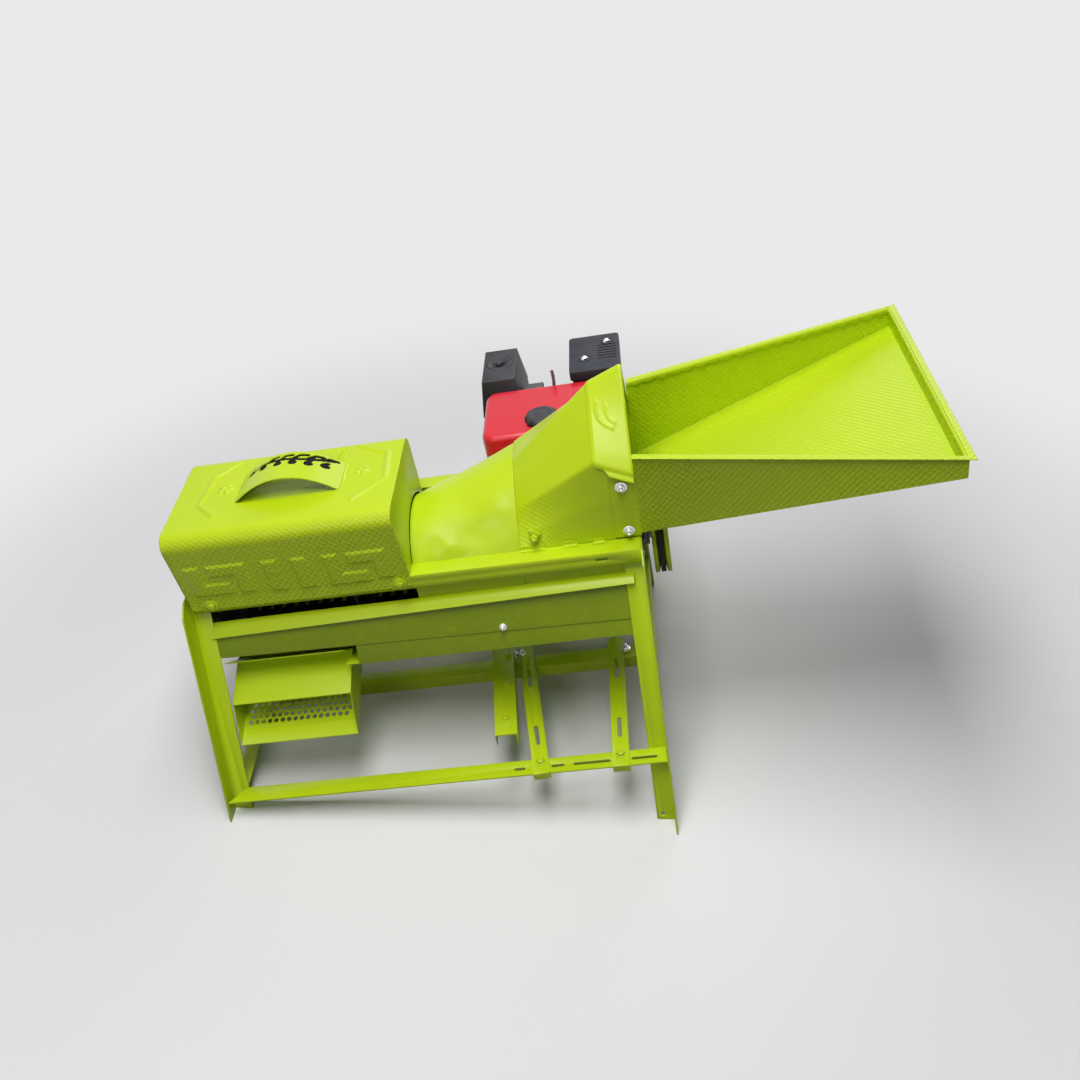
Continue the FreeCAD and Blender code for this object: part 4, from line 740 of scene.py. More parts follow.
@dataclass
class CobCover:
    """The pressed cover over the cob end, with its key pattern, corner ribs, flowers and arched handle."""

    start: float = 14.0
    end: float = 437.0
    front: float = 129.36
    front_top: float = 115.36
    back: float = 381.36
    foot: float = 347.0
    rail: float = 372.5
    top: float = 523.5
    back_foot: float = 415.5
    bend: float = 27.0
    sheet: float = 2.0
    window: tuple[float, float, float] = (181.4, 331.4, 462.5)
    grip_start: float = 134.13
    grip_end: float = 332.1
    grip_front: float = 213.96
    grip_back: float = 299.96
    gap_bow: float = 52.0
    grip_rise: float = 40.0
    relief: float = 3.4
    slope: float = 6.5
    bars: tuple[tuple[float, float, float, float], ...] = (
        (36, 63, 386, 455), (36, 109, 386, 411), (78, 150, 430, 454), (124, 150, 385, 454), (182, 209, 380, 452),
        (236, 263, 378, 450), (294, 320, 376, 448), (294, 368, 376, 401), (338, 408, 423, 447), (382, 408, 380, 447))
    bolts: tuple[Point, ...] = ((56, 128.4, 360), (416, 128.4, 360))

    def key(self, x: Array, z: Array) -> Array:
        """Return the key pattern's height: the largest of its raised bars, each with soft sides."""
        height = np.zeros(x.shape)
        for low_x, high_x, low_z, high_z in self.bars:
            inside = np.minimum(np.minimum(x - low_x, high_x - x), np.minimum(z - low_z, high_z - z))
            height = np.maximum(height, soft_step(inside, -self.slope / 2, self.slope / 2))
        return height

    def crown(self, x: Array, y: Array) -> Array:
        """Return the top's relief: two corner ribs, two five-petalled flowers, a slit and a slot."""
        left = ribs(x, y, [(115, 352), (74, 310), (65, 220), (103, 178)], 9.0)
        right = ribs(x, y, [(349, 356), (410, 318), (415, 233), (362, 179)], 9.0)
        height = np.maximum(left, right)
        for at_x, at_y in ((106, 263), (368, 270)):
            far, turn = np.hypot(x - at_x, y - at_y), np.arctan2(y - at_y, x - at_x)
            petal = 17 * (0.55 + 0.45 * np.abs(np.cos(2.5 * turn)))
            flower = (1 - soft_step(far, petal - 5, petal + 1)) * soft_step(far, 1.5, 5.0)
            height = np.maximum(height, flower)
        height = height - 2.6 * ribs(x, y, [(312, 318), (322, 371)], 6.0)
        return height - 1.5 * ribs(x, y, [(337, 247), (336, 296)], 2.4)

    def section(self) -> tuple[Array, Array]:
        """Return the section's points and their outward normals.

        Returns:
            The (y, z) points from the front foot to the back foot, straight runs joined by two round bends, and
            for each the direction square to the sheet.
        """
        low, corner = np.array([self.front, self.rail]), np.array([self.front_top, self.top])
        up = unit(corner - low)
        begin = corner - up * self.bend * math.tan(math.acos(up[0]) / 2)
        centre = begin + self.bend * np.array([up[1], -up[0]])
        first = np.linspace(math.atan2(*(begin - centre)[::-1]) % (2 * math.pi), math.pi / 2, 18)
        last = np.linspace(math.pi / 2, 0, 14)
        turn_end = np.array([self.back - self.bend, self.top - self.bend])
        line = np.concatenate([
            joined(self.front, np.linspace(self.foot, self.rail, 7)[:-1]),
            low + (begin - low) * np.linspace(0, 1, 96)[:, None],
            (centre + self.bend * joined(np.cos(first), np.sin(first)))[1:-1],
            joined(np.linspace(centre[0], turn_end[0], 128), self.top),
            (turn_end + self.bend * joined(np.cos(last), np.sin(last)))[1:],
            joined(self.back, np.linspace(turn_end[1], self.back_foot, 9)[1:])])
        ahead = unit(np.gradient(line, axis=0))
        return line, joined(-ahead[:, 1], ahead[:, 0])

    def build(self) -> None:
        """Make the cover's four parts and its painted bolts."""
        self.shell()
        self.end_wall()
        self.handle()
        self.painted_shade_lining()
        Bolt(14.0, 6.0, 27.0, 2.2).row("cover_bolt", self.bolts, FORWARD, "lime", "sheet_bolts")

    def shell(self) -> None:
        """Make the pressed sheet, each point moved along its normal by the relief, with the slot under the handle."""
        line, out = self.section()
        x = np.linspace(self.start, self.end, 248)
        gy, gx = grid(line[:, 0], x)
        gz = np.repeat(line[:, 1][:, None], len(x), 1)
        on_face = ((line[:, 1] < self.top - self.bend) & (line[:, 0] < self.front + 1))[:, None]
        on_top = (np.abs(line[:, 1] - self.top) < 0.01)[:, None]
        height = np.where(on_face, self.key(gx, gz), 0.0)
        height = np.where(on_top, self.crown(gx, gy), height)
        sway = 0.5 * np.sin(gx / 61.0 + 0.4) * np.sin(gy / 47.0) * on_top
        lift = self.relief * height + sway
        points = joined(gx, gy + out[:, 0][:, None] * lift, gz + out[:, 1][:, None] * lift)
        share = np.clip((gx - self.grip_start) / (self.grip_end - self.grip_start), 0, 1)
        edge = self.grip_back + self.gap_bow * bowed(share)
        near = on_top & (np.abs(gy - edge) < 0.9) & (share > 0) & (share < 1)
        points[..., 1] = np.where(near, edge, points[..., 1])
        faces = quads(len(line), len(x))
        middle = points.reshape(-1, 3)[faces].mean(1)
        hole = ((middle[:, 2] > self.top - 8) & (middle[:, 1] > self.grip_front)
                & (middle[:, 1] < edge.ravel()[faces].mean(1))
                & (middle[:, 0] > self.grip_start) & (middle[:, 0] < self.grip_end))
        row = np.arange(len(line))
        pressed = np.repeat(1 - 0.62 * soft_step(row, 96, 108) - 0.34 * soft_step(row, 108, 122), len(x))
        kept, fresh = used(np.column_stack([points.reshape(-1, 3), pressed]), faces[~hole])
        sheet = quilt(mesh_of("cob_cover_sheet", LEAN.world(kept[:, :3]), fresh), kept[:, 3])
        dress(thicken(sheet, self.sheet), "lime_quilted", "cob_cover")

    def inside(self, u: Array, v: Array) -> Array:
        """Return the distance inside the end wall's rounded outline and outside its window."""
        low, high, lintel = self.window
        lean = self.front + (self.front_top - self.front) * (v - self.rail) / (self.top - self.rail)
        above = self.top - v
        edge = above
        for side in (u - lean, self.back - u):
            near, near_top = self.bend - side, self.bend - above
            turn = self.bend - np.hypot(np.maximum(near, 0), np.maximum(near_top, 0))
            edge = np.minimum(edge, np.where((near > 0) & (near_top > 0), turn, side))
        slope = (self.back_foot - self.foot) / (self.back - self.front)
        edge = np.minimum(edge, np.minimum(v - self.rail, v - self.foot - slope * (u - self.front)))
        return np.minimum(edge, -np.minimum(np.minimum(u - low, high - u), lintel - v))

    def end_wall(self) -> None:
        """Make the closed cob end, a flat plate inside the section with the window that the cobs leave by."""
        over = 4
        u, v, faces = pierced(np.linspace(self.front_top - over, self.back + over, 150),
                              np.linspace(self.rail - over, self.top + over, 96), self.inside)
        points, faces = used(joined(self.start, u, v), faces)
        wall = mesh_of("cob_cover_end", LEAN.world(points), faces)
        dress(soften(thicken(wall, self.sheet), 0.4, 1), "lime", "cob_cover")

    @staticmethod
    def ear(u: Array, v: Array) -> Array:
        """Return the distance outside the wheat ear: its stem, the round lower grains and the swept upper ones."""
        stem = [(133, 262), (143, 263), (161, 272), (181, 282), (210, 279), (235, 277), (259, 275), (286, 279),
                (314, 289)]
        lower = [(159, 275), (186, 270), (217, 266), (246, 265), (275, 263), (303, 266)]
        upper = [(206, 288), (234, 288), (262, 289), (289, 290), (312, 291)]
        far = np.minimum(off_line(u, v, stem[:3]) - 2.0, off_line(u, v, stem[2:]) - 4.2)
        for at_u, at_v in lower:
            far = np.minimum(far, (np.hypot((u - at_u) / 8.6, (v - at_v) / 7.0) - 1) * 7.0)
            far = np.minimum(far, off_line(u, v, [(at_u - 4, at_v + 4), (at_u + 4, at_v + 11)]) - 4.0)
        for at_u, at_v in upper:
            sweep = [(at_u - 15, at_v - 9), (at_u - 4, at_v), (at_u + 8, at_v + 1)]
            far = np.minimum(far, off_line(u, v, sweep) - 4.2)
        return far

    def handle(self) -> None:
        """Make the arched handle, pressed up in a parabola, with the ear cut through it, the pan below it, and a black
        sheet of painted shade under the arch that darkens the ear's holes.
        """
        chord = self.grip_end - self.grip_start
        u, v, faces = pierced(np.linspace(self.grip_start, self.grip_end, 240),
                              np.linspace(self.grip_front, self.grip_back, 108), self.ear)
        z = self.top + self.grip_rise * bowed((u - self.grip_start) / chord)
        points, faces = used(joined(u, v, z), faces)
        arch = mesh_of("cover_handle_arch", LEAN.world(points), faces[:, ::-1])
        dress(soften(thicken(arch, self.sheet), 0.5, 1), "lime", "cover_handle")
        along, back = grid(np.linspace(0, 1, 60), np.linspace(0, 1, 30))
        gy = self.grip_front - 0.5 + back * (8 + 82 * bowed(along))
        dish = sheet_of("cover_handle_pan", joined(self.grip_start + (along - 0.115 * bowed(along)) * chord, gy,
                                                   self.top - 1.2 - 0.16 * (gy - self.grip_front)), flip=True)
        dress(thicken(quilt(dish, 0.9), 1.2), "lime_quilted")
        # A near-black sheet just under the arch: painted shade, so the ear's holes look dark from every side.
        gx, gy = grid(np.linspace(self.grip_start + 3, self.grip_end - 3, 60), np.linspace(252, 298, 12))
        gz = self.top - 3.4 + self.grip_rise * bowed((gx - self.grip_start) / chord)
        dress(thicken(sheet_of("cover_handle_painted_shade", joined(gx, gy, gz), flip=True), 0.6), "shade_black")

    def painted_shade_lining(self) -> None:
        """Make the near-black sheet of painted shade inside the cover: down its back, over the drum and down behind its
        front.
        """
        line = np.array([(self.back - 10, self.top - 26), (self.back - 8, 470), (self.back - 14, 446), (345, 434),
                         (270, 432), (195, 432), (154, 428), (144, 414), (142, 334)])
        gx, gy = grid(np.linspace(self.start + 6, self.end - 6, 40), line[:, 0])
        dress(thicken(sheet_of("cob_cover_painted_shade", joined(gx, gy, line[:, 1])), 1.0), "shade_black")


@dataclass
class DrumCasing:
    """The drum's casing: a beaten sheet that flares from round to the hood's arch, and the trough behind it."""

    start: float = 437.0
    flare_end: float = 640.0
    trough_end: float = 854.0
    axis_y: float = 273.3
    axis_z: float = 302.0
    radius: float = 126.0
    sheet: float = 2.0
    arch_shares: tuple[tuple[float, float], ...] = (
        (-20, 1.0), (0, 1.04), (12, 1.12), (24, 1.22), (36, 1.38), (47, 1.56), (58, 1.62), (70, 1.52), (82, 1.42),
        (95, 1.27), (108, 1.12), (122, 1.00), (135, 0.93), (146, 0.90), (157, 0.93), (168, 1.0), (180, 1.0))
    dents: tuple[tuple[float, ...], ...] = (
        (490, 150, 34, 13, -3.0), (560, 128, 45, 12, -3.4), (520, 168, 50, 10, 1.0), (600, 108, 26, 10, 2.0),
        (540, 102, 30, 9, -1.8), (470, 118, 24, 12, 1.2), (560, 60, 60, 14, -2.5), (508, 136, 12, 5, 1.6),
        (533, 146, 14, 5, -1.6), (478, 134, 10, 7, -1.4))

    def round(self, x: Union[float, Array], radius: Union[float, Array], turn: Array) -> Array:
        """Return points at an angle and a radius round the drum's axis."""
        return joined(x, self.axis_y + radius * np.cos(turn), self.axis_z + radius * np.sin(turn))

    def build(self) -> None:
        """Make the flared part, whose radius eases from the circle to the arch, a near-black ring of painted shade at
        its open end, and the trough.
        """
        angle = np.linspace(-180, 180, 221)
        window = np.hanning(11)[1:-1]
        factor = np.interp(angle, *np.array(self.arch_shares, float).T)
        factor = np.convolve(np.pad(factor, 4, mode="edge"), window / window.sum(), "valid")
        gx, ga = grid(np.linspace(self.start, self.flare_end, 110), angle)
        along = (gx - self.start) / (self.flare_end - self.start)
        radius = self.radius * (1 + (factor[None, :] - 1) * along)
        for at_x, at_a, wide_x, wide_a, deep in self.dents:
            radius = radius + 1.25 * deep * np.exp(-((gx - at_x) / wide_x) ** 2 - ((ga - at_a) / wide_a) ** 2)
        skin = sheet_of("drum_casing_skin", self.round(gx, radius, np.radians(ga)), weld=True)
        dress(thicken(skin, self.sheet), "lime", "drum_casing")
        # A near-black ring at the casing's open end: painted shade filling the gap next to the end plate.
        reach, arc = grid(np.linspace(112, 136, 6), np.radians(np.linspace(20, 160, 72)))
        dress(thicken(sheet_of("casing_painted_shade_ring", self.round(self.start - 3.4, reach, arc), flip=True), 2.0), "shade_black")
        gx, ga = grid(np.linspace(self.flare_end, self.trough_end, 40), np.radians(np.linspace(-211.8, 31.8, 150)))
        trough = sheet_of("drum_casing_trough", self.round(gx, self.radius, ga))
        dress(thicken(trough, self.sheet), "lime", "drum_casing")
        # The concave screen is dressed near-black: painted shade for the dark gap under the cover.
        dress_node("concave_screen", 0.4, 1)


@dataclass
class FeedHood:
    """The folded hood between the casing and the tray, with its roof cap, crescent rib, flange and bolts."""

    start: float = 640.0
    shoulder: float = 795.0
    end: float = 862.0
    rail: float = 372.5
    low_y: float = 166.9
    width: float = 248.0
    sheet: float = 2.0
    steps: int = 26
    sections: tuple[tuple[tuple[float, float], ...], ...] = (
        ((0.0, 0.0), (0.07, 0.18), (0.19, 0.51), (0.38, 0.83), (0.52, 1.0), (0.80, 1.0), (0.94, 0.62), (1.0, 0.0)),
        ((0.0, 0.0), (0.0, 0.32), (0.02, 0.65), (0.25, 0.82), (0.50, 1.0), (0.73, 0.84), (0.98, 0.65), (1.0, 0.0)),
        ((0.0, 0.0), (-0.02, 0.29), (-0.03, 0.49), (0.23, 0.73), (0.50, 1.0), (0.77, 0.73), (1.03, 0.49), (1.0, 0.0)))
    heights: tuple[float, float, float] = (112.0, 254.0, 284.0)
    dents: tuple[tuple[float, ...], ...] = (
        (690, 1.4, 26, 0.5, -1.6), (735, 1.9, 30, 0.35, 1.2), (672, 2.3, 20, 0.6, 1.0), (770, 1.1, 30, 0.5, -1.0))
    bolts: tuple[Point, ...] = ((837, 163.2, 487), (840, 165.0, 390))
    tab_ends: tuple[tuple[float, float], ...] = ((641, 686), (718, 745), (773, 795))

    def ring(self, number: int, soft: int = 2) -> Array:
        """Return one section's (y, z) points, the same number on each fold, with its corners eased by a mean."""
        corners = np.array(self.sections[number]) * [self.width, self.heights[number]] + [self.low_y, self.rail]
        share = np.linspace(0, 1, self.steps + 1)[:-1, None]
        fine = np.concatenate([a + (b - a) * share for a, b in zip(corners[:-1], corners[1:])] + [corners[-1:]])
        window = np.hanning(2 * soft + 3)[1:-1] / np.hanning(2 * soft + 3).sum()
        wide = np.concatenate([2 * fine[0] - fine[soft:0:-1], fine, 2 * fine[-1] - fine[-2:-soft - 2:-1]])
        return joined(*(np.convolve(wide[:, k], window, "valid") for k in range(2)))

    def surface(self, x: Array) -> Array:
        """Return the hood's points: the three sections joined by straight lines along the machine, folds eased."""
        rings = [self.ring(number) for number in range(3)]
        first = np.clip((x - self.start) / (self.shoulder - self.start), 0, 1)[:, None, None]
        rest = np.clip((x - self.shoulder) / (self.end - self.shoulder), 0, 1)[:, None, None]
        ends = rings[0] + (rings[1] - rings[0]) * first + (rings[2] - rings[1]) * rest
        window = np.hanning(7)[1:-1] / np.hanning(7).sum()
        padded = np.concatenate([2 * ends[:1] - ends[2:0:-1], ends, 2 * ends[-1:] - ends[-2:-4:-1]])
        ends = sum(padded[k:k + len(ends)] * window[k] for k in range(5))
        return joined(x[:, None], ends[..., 0], ends[..., 1])

    @staticmethod
    def outward(points: Array) -> Array:
        """Return a grid's unit normals: the cross product of its two gradients, which points out of the hood."""
        normal = np.cross(np.gradient(points, axis=0), np.gradient(points, axis=1))
        return normal / np.maximum(np.linalg.norm(normal, axis=-1, keepdims=True), 1e-9)

    def build(self) -> None:
        """Make the folded sheet, the cap over its mouth, the foot's tabs and the fasteners."""
        x = np.concatenate([np.linspace(self.start, self.shoulder, 100), np.linspace(self.shoulder, self.end, 46)[1:]])
        points = self.surface(x)
        row, gx = np.arange(points.shape[1])[None, :] / self.steps, points[..., 0]
        front = 1 - soft_step(row, 1.85, 2.1)
        flange = soft_step(gx, 814, 817) * front
        dents = sum(deep * np.exp(-((gx - ax) / wx) ** 2 - ((row - ar) / wr) ** 2)
                    for ax, ar, wx, wr, deep in self.dents)
        points = points + self.outward(points) * (dents - 2.0 * flange)[..., None]
        wide = quilt(sheet_of("feed_hood_sheet", points, flip=True),
                     (front * (1 - soft_step(gx, 690, 770)) * 0.5).ravel())
        dress(thicken(wide, self.sheet), "lime_quilted", "feed_hood")
        self.cap()
        self.tabs()
        Bolt(13.0, 6.0, 22.0, stub=5.0).row("hood_bolt", self.bolts, FORWARD, "steel")
        Bolt(14.0, 7.0, 20.0, stub=7.0).fit("hood_wing_bolt", (669, 171.0, 396), (0, -1, 0.1), "lime")
        wings = [(0, 0), (11, 0), (12, 1.5), (11, 3), (0, 3)]
        dress(turned("hood_wing_plate", wings, (669, 170.5, 402), (0, -1, 0.1), 48,
                     lambda angle, height: 0.75 + 0.45 * np.cos(1.5 * angle) ** 4), "lime")

    def cap(self) -> None:
        """Make the cap over the mouth's roof, which stands proud of it and curls outward at its two eaves."""
        x = np.concatenate([np.linspace(793, 803, 14), np.linspace(803, 858, 52)[1:], np.linspace(858, 862, 6)[1:]])
        roof = slice(int(1.93 * self.steps), int(6.07 * self.steps) + 1)
        points = self.surface(x)
        out = self.outward(points)[:, roof]
        points = points[:, roof]
        gx, gy = points[..., 0], points[..., 1]
        crescent = np.maximum(ribs(gx, gy, [(813, 257), (810, 247), (813, 234), (822, 225), (836, 218)], 4.0),
                              0.8 * ribs(gx, gy, [(828, 249), (827, 241), (831, 231), (841, 224)], 3.5))
        proud = 3.2 * soft_step(gx, 793, 802) - 1.4 * soft_step(gx, 858, 862)
        points = points + out * (proud + 1.8 * crescent)[..., None]
        turn = np.linspace(0, 1.2, 7)[1:]
        curl = 8.0 * soft_step(x, 812, 822)[:, None]
        lips = []
        for edge, way in ((points[:, 0], -1.0), (points[:, -1], 1.0)):
            across = way * curl * np.sin(turn)[None, :] * 0.9
            down = -curl * (turn / 1.2 * 0.9)[None, :] - 1.0 * (turn / 1.2)[None, :]
            lips.append(edge[:, None] + joined(0.0, across, down))
        cap = sheet_of("feed_hood_cap", np.concatenate([lips[0][:, ::-1], points, lips[1]], 1), flip=True)
        dress(thicken(cap, 1.4), "lime", "feed_hood")

    def tabs(self) -> None:
        """Make the tabs of the hood's foot, folded out over the rail."""
        fold = np.array([(-0.6, 9.0), (0.6, 9.0), (1.4, 3.4), (2.6, 2.0), (7.0, 1.7), (7.0, 0.1), (1.6, 0.2),
                         (-0.6, 1.4)])
        for number, (low, high) in enumerate(self.tab_ends, 1):
            line = joined(np.linspace(high, low, 8), self.low_y - 1.0, self.rail)
            dress(soften(carried(f"hood_tab_{number}", line, fold), 0.4, 2), "lime")


@dataclass
class Tray:
    """The hopper tray that the cobs are laid in, with hems folded inward along its three walls."""

    throat: Point = (862.5, 126.5, 549.0)
    mouth: Point = (1379.0, 262.5, 555.8)
    middle: float = 290.9
    hem: float = 11.0
    wave: float = 2.6
    beats: tuple[float, float] = (26.0, 41.0)
    profile: tuple[tuple[float, float], ...] = ((0.2, -0.4), (2.4, -0.2), (4.0, -1.4), (4.4, -4.0), (4.4, -8.6),
                                                (3.6, -10.4), (0.3, -11.0))

    def build(self) -> None:
        """Dress the folded tray and fold its hems."""
        dress(quilt(smoothed_copy("hopper_tray", 0.9), 0.75), "lime_quilted", "hopper_tray")
        (x0, half0, z0), (x1, half1, z1) = self.throat, self.mouth
        for name, side in (("front", -1.0), ("rear", 1.0)):
            self.fold(f"tray_hem_{name}", (x0, self.middle + side * half0, z0), (x1, self.middle + side * half1, z1),
                      -side)
        self.fold("tray_hem_end", (x1, self.middle - half1, z1), (x1, self.middle + half1, z1), 1.0)

    def fold(self, name: str, start: Point, end: Point, side: float) -> None:
        """Fold one hem against a wall's inner face.

        Its points lie at start + (end - start) * along + inward * bulge + up * drop, the foot waved by two sines.

        Args:
            name: the piece's name.
            start, end: the wall's top inner corners.
            side: which side of the run the inside of the tray lies on, 1 for its left.
        """
        bulge, fall = np.array(self.profile).T
        first, last = np.array(start), np.array(end)
        run = last - first
        length = float(np.linalg.norm(run))
        inward = side * np.array([-run[1], run[0], 0.0]) / math.hypot(run[0], run[1])
        along = np.linspace(0, 1, int(length / 2.5))
        long, short = (np.sin(along * length / beat * 2 * math.pi) for beat in self.beats)
        beat = long + 0.4 * short
        drop = fall[None, :] + self.wave * beat[:, None] * (-fall[None, :] / self.hem) ** 2
        points = (first + run * along[:, None])[:, None] + inward * bulge[None, :, None] + joined(0.0, 0.0, drop)
        dress(thicken(sheet_of(name, points, flip=side > 0), 0.8), "lime")


@dataclass
class Panels:
    """The side panels, the grain pan, the outlet chute and the end plate."""

    names: tuple[str, ...] = ("cob_end_plate", "kernel_pan", "outlet_chute", "screen_plate", "front_panel",
                              "lower_panel")
    fold: float = 0.7
    lip_ends: tuple[float, float] = (30.0, 838.0)
    lip_front: tuple[float, float] = (282.6, 301.2)
    lip_back: tuple[float, float] = (304.6, 311.0)
    lip_depth: tuple[float, float] = (122.5, 145.0)

    def build(self) -> None:
        """Dress each folded sheet, lay the bright lip on the front panel and fit its nut."""
        # The front and lower panels take the darker green finish: painted shade for the shadow under the lip.
        for node in self.names:
            dress_node(node, self.fold)
        self.lip()
        Bolt(10.0, 4.5, 14.0, stub=4.0).fit("panel_nut", (586.0, 111.0, 243.6), (0, -0.913, 0.409), "steel")

    def lip(self) -> None:
        """Make the front panel's lip: it rises from a rolled front edge to the casing, bowed a little upward."""
        along, across = grid(np.linspace(0, 1, 90), np.linspace(0, 1, 14))
        gx, front, back = (low + (high - low) * along for low, high in (self.lip_ends, self.lip_front, self.lip_back))
        gy = self.lip_depth[0] + (self.lip_depth[1] - self.lip_depth[0]) * across
        gz = front + (back - front) * across + 1.4 + 3.2 * np.sin(math.pi * across)
        strip = sheet_of("front_panel_lip", joined(gx, gy, gz + 0.5 * np.sin(9 * along) * across), flip=True)
        dress(soften(thicken(strip, 1.6), 0.5, 2), "lime")


@dataclass
class Works:
    """The rotor, its shaft, bearings, pulleys and belt."""

    widths: tuple[tuple[str, float], ...] = (
        ("drum_rotor", 0.6), ("beater_bars", 0.8), ("rotor_shaft", 0.8), ("bearing_left", 0.8), ("bearing_right", 0.8),
        ("drum_pulley", 0.8), ("crankshaft", 0.6), ("engine_pulley", 0.8), ("drive_belt", 0.8))

    def build(self) -> None:
        """Dress each turned part."""
        for node, width in self.widths:
            dress_node(node, width)


@dataclass
class Engine:
    """The petrol engine behind the casing: castings, tank, filter, muffler guard, starter and levers."""

    plain: tuple[tuple[str, float, int], ...] = (
        ("crankcase", 2.0, 3), ("cylinder_block", 0.8, 2), ("cylinder_head", 1.2, 2), ("fan_shroud", 2.0, 3),
        ("recoil_cover", 2.2, 3), ("recoil_handle", 2.5, 3), ("fuel_tank", 3.0, 4), ("air_filter_base", 3.0, 3),
        ("air_filter_cover", 5.0, 4), ("carburettor", 2.5, 3), ("muffler", 4.0, 3), ("muffler_cover", 2.2, 3),
        ("choke_lever", 0.8, 2), ("engine_switch", 0.8, 2), ("oil_plug", 1.5, 3))
    cap_at: Point = (685.1, 498.0, 443.2)
    dish_at: Point = (587.8, 732.0, 455.0)
    lever_foot: Point = (703.7, 641.2, 416.8)
    starter_at: Point = (558.5, 599.9, 231.0)
    guard_bolts: tuple[Point, ...] = ((776.0, 701.0, 459.6), (825.0, 768.0, 459.6))

    def build(self) -> None:
        """Dress each casting and cover, then make the trim."""
        for node, width, segments in self.plain:
            dress_node(node, width, segments)
        for trim in (self.cap, self.filter_top, self.guard_top, self.lever, self.starter):
            trim()

    def cap(self) -> None:
        """Make the tank's cap, a low dome with ten finger hollows round its skirt, and the neck below it."""
        def hollows(angle: Array, height: Array) -> Array:
            """Return the radius' factor, drawn in at ten places, less toward the dome."""
            return 1 - 0.1 * (0.5 + 0.5 * np.cos(10 * angle)) ** 2 * (1 - soft_step(height, 11, 16.5))

        dome = [(0, 0.2), (31, 0.2), (34.4, 0.8), (34.9, 2.5), (34.9, 8), (34, 11), (31.5, 13.6), (28, 15.2),
                (22, 16.2), (20, 15.4), (12, 15.9), (4, 16.6), (0, 16.7)]
        dress(turned("fuel_cap_dome", dome, self.cap_at, UPWARD, 120, hollows), "plastic", "fuel_cap", body="cap")
        collar = [(0, 0), (37, 0), (38.5, 0.6), (39, 1.6), (38, 2.4), (0, 2.4)]
        at = (*self.cap_at[:2], self.cap_at[2] - 1.6)
        dress(turned("tank_neck", collar, at, UPWARD, 72), "red")

    def filter_top(self) -> None:
        """Make the dished ring on the filter's cover and its wing nut."""
        ring = [(0, 0.1), (0, 0.9), (8.5, 0.9), (10, 2.6), (18.5, 3.0), (20.5, 5.2), (25.5, 5.7), (28.2, 5.0),
                (28.6, 0.1)]
        dress(turned("filter_ring", ring, self.dish_at, UPWARD, 72), "plastic")
        hub = [(0, -0.4), (6.4, -0.4), (6.6, 3), (5, 6), (3, 7.2), (0, 7.4)]
        x, y, _ = self.dish_at
        dress(turned("filter_nut_hub", hub, (x, y, 456.4), UPWARD, 32), "plastic", "filter_knob", body="knob")
        for number, way in enumerate((-1.0, 1.0), 1):
            reach = np.linspace(3.5, 14.0, 9)
            line = joined(x + way * reach, y, 459.2 + 3.6 * ((reach - 3.5) / 10.5) ** 1.4)
            wing = carried(f"filter_nut_wing_{number}", line, oval(2.0, 2.3, 14))
            dress(wing, "plastic", "filter_knob", body="knob")

    def guard_top(self) -> None:
        """Make the raised oval rims round the guard's two bolts, and the bolts."""
        rim = [(8.2, 0.0), (9.0, 1.9), (11.6, 2.3), (13.4, 1.2), (13.8, 0.0), (11.0, -0.6), (8.2, 0.0)]
        for number, at in enumerate(self.guard_bolts, 1):
            dress(turned(f"guard_rim_{number}", rim, at, UPWARD, 60,
                         lambda angle, height: 1 + 0.16 * np.cos(angle) ** 2), "guard")
        Bolt(10.0, 3.4, 15.0, 1.2).row("guard_bolt", self.guard_bolts, (0.12, -0.2, 1), "steel")

    def lever(self) -> None:
        """Make the throttle lever, a flat rod that rises from its boss behind the tank, with a bent tip."""
        rise = np.linspace(0, 1, 30)
        x, y, z = self.lever_foot
        line = joined(x + 4.0 * np.sin(rise * 2.2), y + 6.5 - 2.5 * rise, z + 55.5 * rise)
        rod = carried("throttle_rod", line, oval(3.4, 1.5, 18))
        boss = [(0, 0.1), (4.4, 0.1), (4.5, 0.8), (4.5, 7.6), (3.8, 8.6), (0, 8.6)]
        for piece in (rod, turned("throttle_boss", boss, self.lever_foot, (0, 1, 0), 36)):
            dress(piece, "zinc", "throttle_lever", body="throttle")

    def starter(self) -> None:
        """Make the starter's raised hub and rim on its cover, its three bolts and the ring of the oil plug."""
        hub = [(0, -0.4), (26, -0.4), (24, 2.4), (20, 4.0), (14, 4.5), (0, 4.5)]
        dress(turned("starter_hub", hub, self.starter_at, SIDEWAYS, 60), "red")
        rim = [(72, -0.3), (74, 1.8), (78, 2.6), (84, 2.6), (88, 1.6), (90.5, -0.3), (81, -1.0), (72, -0.3)]
        dress(turned("starter_rim", rim, self.starter_at, SIDEWAYS, 90), "red")
        x, y, z = self.starter_at
        turns = np.radians((45, 165, 285))
        places = joined(x + 0.1, y + 81 * np.cos(turns), z + 81 * np.sin(turns))
        Bolt(8.0, 4.0, 12.0, 1.0).row("starter_bolt", places, SIDEWAYS, "steel")
        ring = [(0, 0), (14.5, 0), (15.2, 0.8), (15.2, 3.4), (14.4, 4.2), (0, 4.2)]
        dress(turned("oil_plug_ring", ring, (729.9, 531.6, 162.4), FORWARD, 48), "plastic")


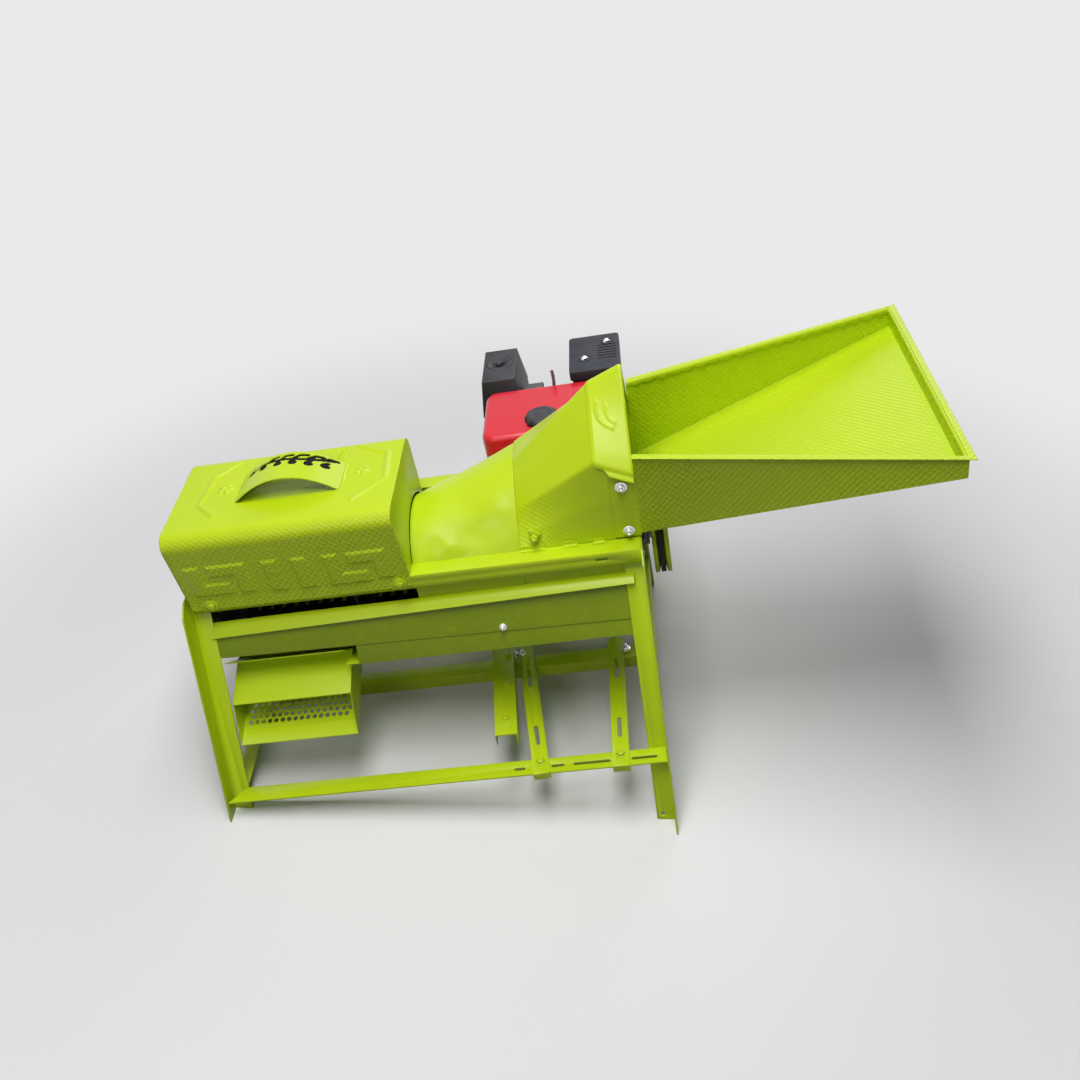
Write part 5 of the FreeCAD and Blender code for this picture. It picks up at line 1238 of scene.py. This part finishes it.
@dataclass
class Studio:
    """Floor, lights and camera."""

    camera_at: Point = (0.086257, -1.764527, 1.703553)
    right: Point = (0.998570, 0.020777, -0.049248)
    up: Point = (0.026594, 0.606112, 0.794935)
    lens: float = 36.667
    air: float = 0.115
    flat: float = 6.0
    bend: float = 2.5
    top: float = 6.0
    sides: int = 96

    @staticmethod
    def seen(tree: Tree) -> Sock:
        """Return 1 for rays of the camera, of mirrors and of glass, and 0 for rays that carry light."""
        rays = tree.node("ShaderNodeLightPath", output="Is Camera Ray")
        glossy, through = rays.beside("Is Glossy Ray"), rays.beside("Is Transmission Ray")
        return rays.math("MAXIMUM", rays.math("MAXIMUM", rays, glossy), through)

    @staticmethod
    def stand(piece: Piece, axes: Sequence[Array], at: Point) -> None:
        """Turn an object's own axes to three directions and put it at a place in metres."""
        rows = [[*row, place] for row, place in zip(np.stack(axes, 1), at)]
        piece.matrix_world = Matrix([*rows, [0, 0, 0, 1]])

    def floor(self) -> None:
        """Make a round floor that rises through a quarter circle into a wall, and its pale material."""
        curve = np.linspace(0, math.pi / 2, 16)[1:]
        radius = np.concatenate([np.linspace(0.001, self.flat, 40), self.flat + self.bend * np.sin(curve),
                                 np.full(8, self.flat + self.bend)])
        rise = np.concatenate([np.zeros(40), self.bend - self.bend * np.cos(curve),
                               np.linspace(self.bend, self.top, 9)[1:]])
        r, a = grid(radius, np.arange(self.sides) * 2 * math.pi / self.sides)
        points = joined(r * np.cos(a), r * np.sin(a), rise[:, None] - 0.0005)
        sweep = mesh_of("studio_floor", points, quads(*r.shape, True)[:, ::-1])
        tree = Tree(bpy.data.materials.new("pale_floor"))
        seen = self.seen(tree)
        surface = tree.node("ShaderNodeBsdfDiffuse", None, {"Color": tree.shade(seen, (0.2,) * 3, (0.97,) * 3)})
        glow = tree.node("ShaderNodeEmission", None, {"Color": (0.82, 0.82, 0.82, 1.0), "Strength": 1.0})
        raw = tree.node("ShaderNodeTexCoord", output="Object")
        reach = tree.node("ShaderNodeVectorMath", {"operation": "LENGTH"}, {0: raw}, "Value")
        tree.close(tree.node("ShaderNodeMixShader", None, {0: reach.ramp(0.9, 1.9) * seen, 1: surface, 2: glow}))
        sweep.data.materials.append(tree.owner)

    def world(self) -> None:
        """Light the scene softly from all round, and show white where the camera sees past the wall."""
        world = bpy.data.worlds.new("studio_air")
        bpy.context.scene.world = world
        tree = Tree(world)
        dim = tree.node("ShaderNodeBackground", None, {"Color": (0.93, 0.96, 1.0, 1.0), "Strength": self.air})
        white = tree.node("ShaderNodeBackground", None, {"Color": (1.0, 1.0, 1.0, 1.0), "Strength": 1.0})
        tree.close(tree.node("ShaderNodeMixShader", None, {0: self.seen(tree), 1: dim, 2: white}),
                   "ShaderNodeOutputWorld")

    def lamp(self, name: str, at: Point, aim: Point, size: tuple[float, float], power: float) -> None:
        """Hang one soft rectangular lamp.

        Args:
            name: the lamp's name.
            at: its place in metres.
            aim: the place that it points at.
            size: its two sides in metres.
            power: its power in watts.
        """
        data = bpy.data.lights.new(name, "AREA")
        data.shape = "RECTANGLE"
        data.size, data.size_y = size
        data.energy = power
        main, side, other = axes_of(np.array(at) - np.array(aim))
        self.stand(add(name, data), (side, other, main), at)

    def build(self) -> None:
        """Make the floor, the air, the lamps and the camera."""
        self.floor()
        self.world()
        self.lamp("over_lamp", (-0.25, -0.55, 3.0), (0, 0, 0.4), (2.6, 1.0), 66.0)
        self.lamp("front_lamp", (-1.0, -2.3, 1.7), (-0.1, 0, 0.4), (0.8, 0.5), 6.5)
        self.lamp("back_lamp", (0.9, 2.8, 2.2), (0.1, 0, 0.6), (2.0, 1.0), 20.0)
        data = bpy.data.cameras.new("photo_camera")
        data.sensor_width = 36.0
        data.lens = self.lens
        data.clip_start, data.clip_end = 0.02, 60.0
        camera = add("photo_camera", data)
        right, up = np.array(self.right), np.array(self.up)
        self.stand(camera, (right, up, np.cross(right, up)), self.camera_at)
        bpy.context.scene.camera = camera
        bpy.context.scene.view_settings.view_transform = "Standard"


def main() -> None:
    """Build the sub-assemblies in order, then the studio."""
    logging.basicConfig(level=logging.INFO, format="%(name)s %(message)s")
    for part in (Stand(), CobCover(), DrumCasing(), FeedHood(), Tray(), Panels(), Works(), Engine(), Studio()):
        part.build()
        log.info("%s done", type(part).__name__)
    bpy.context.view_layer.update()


if __name__ == "__main__":
    main()
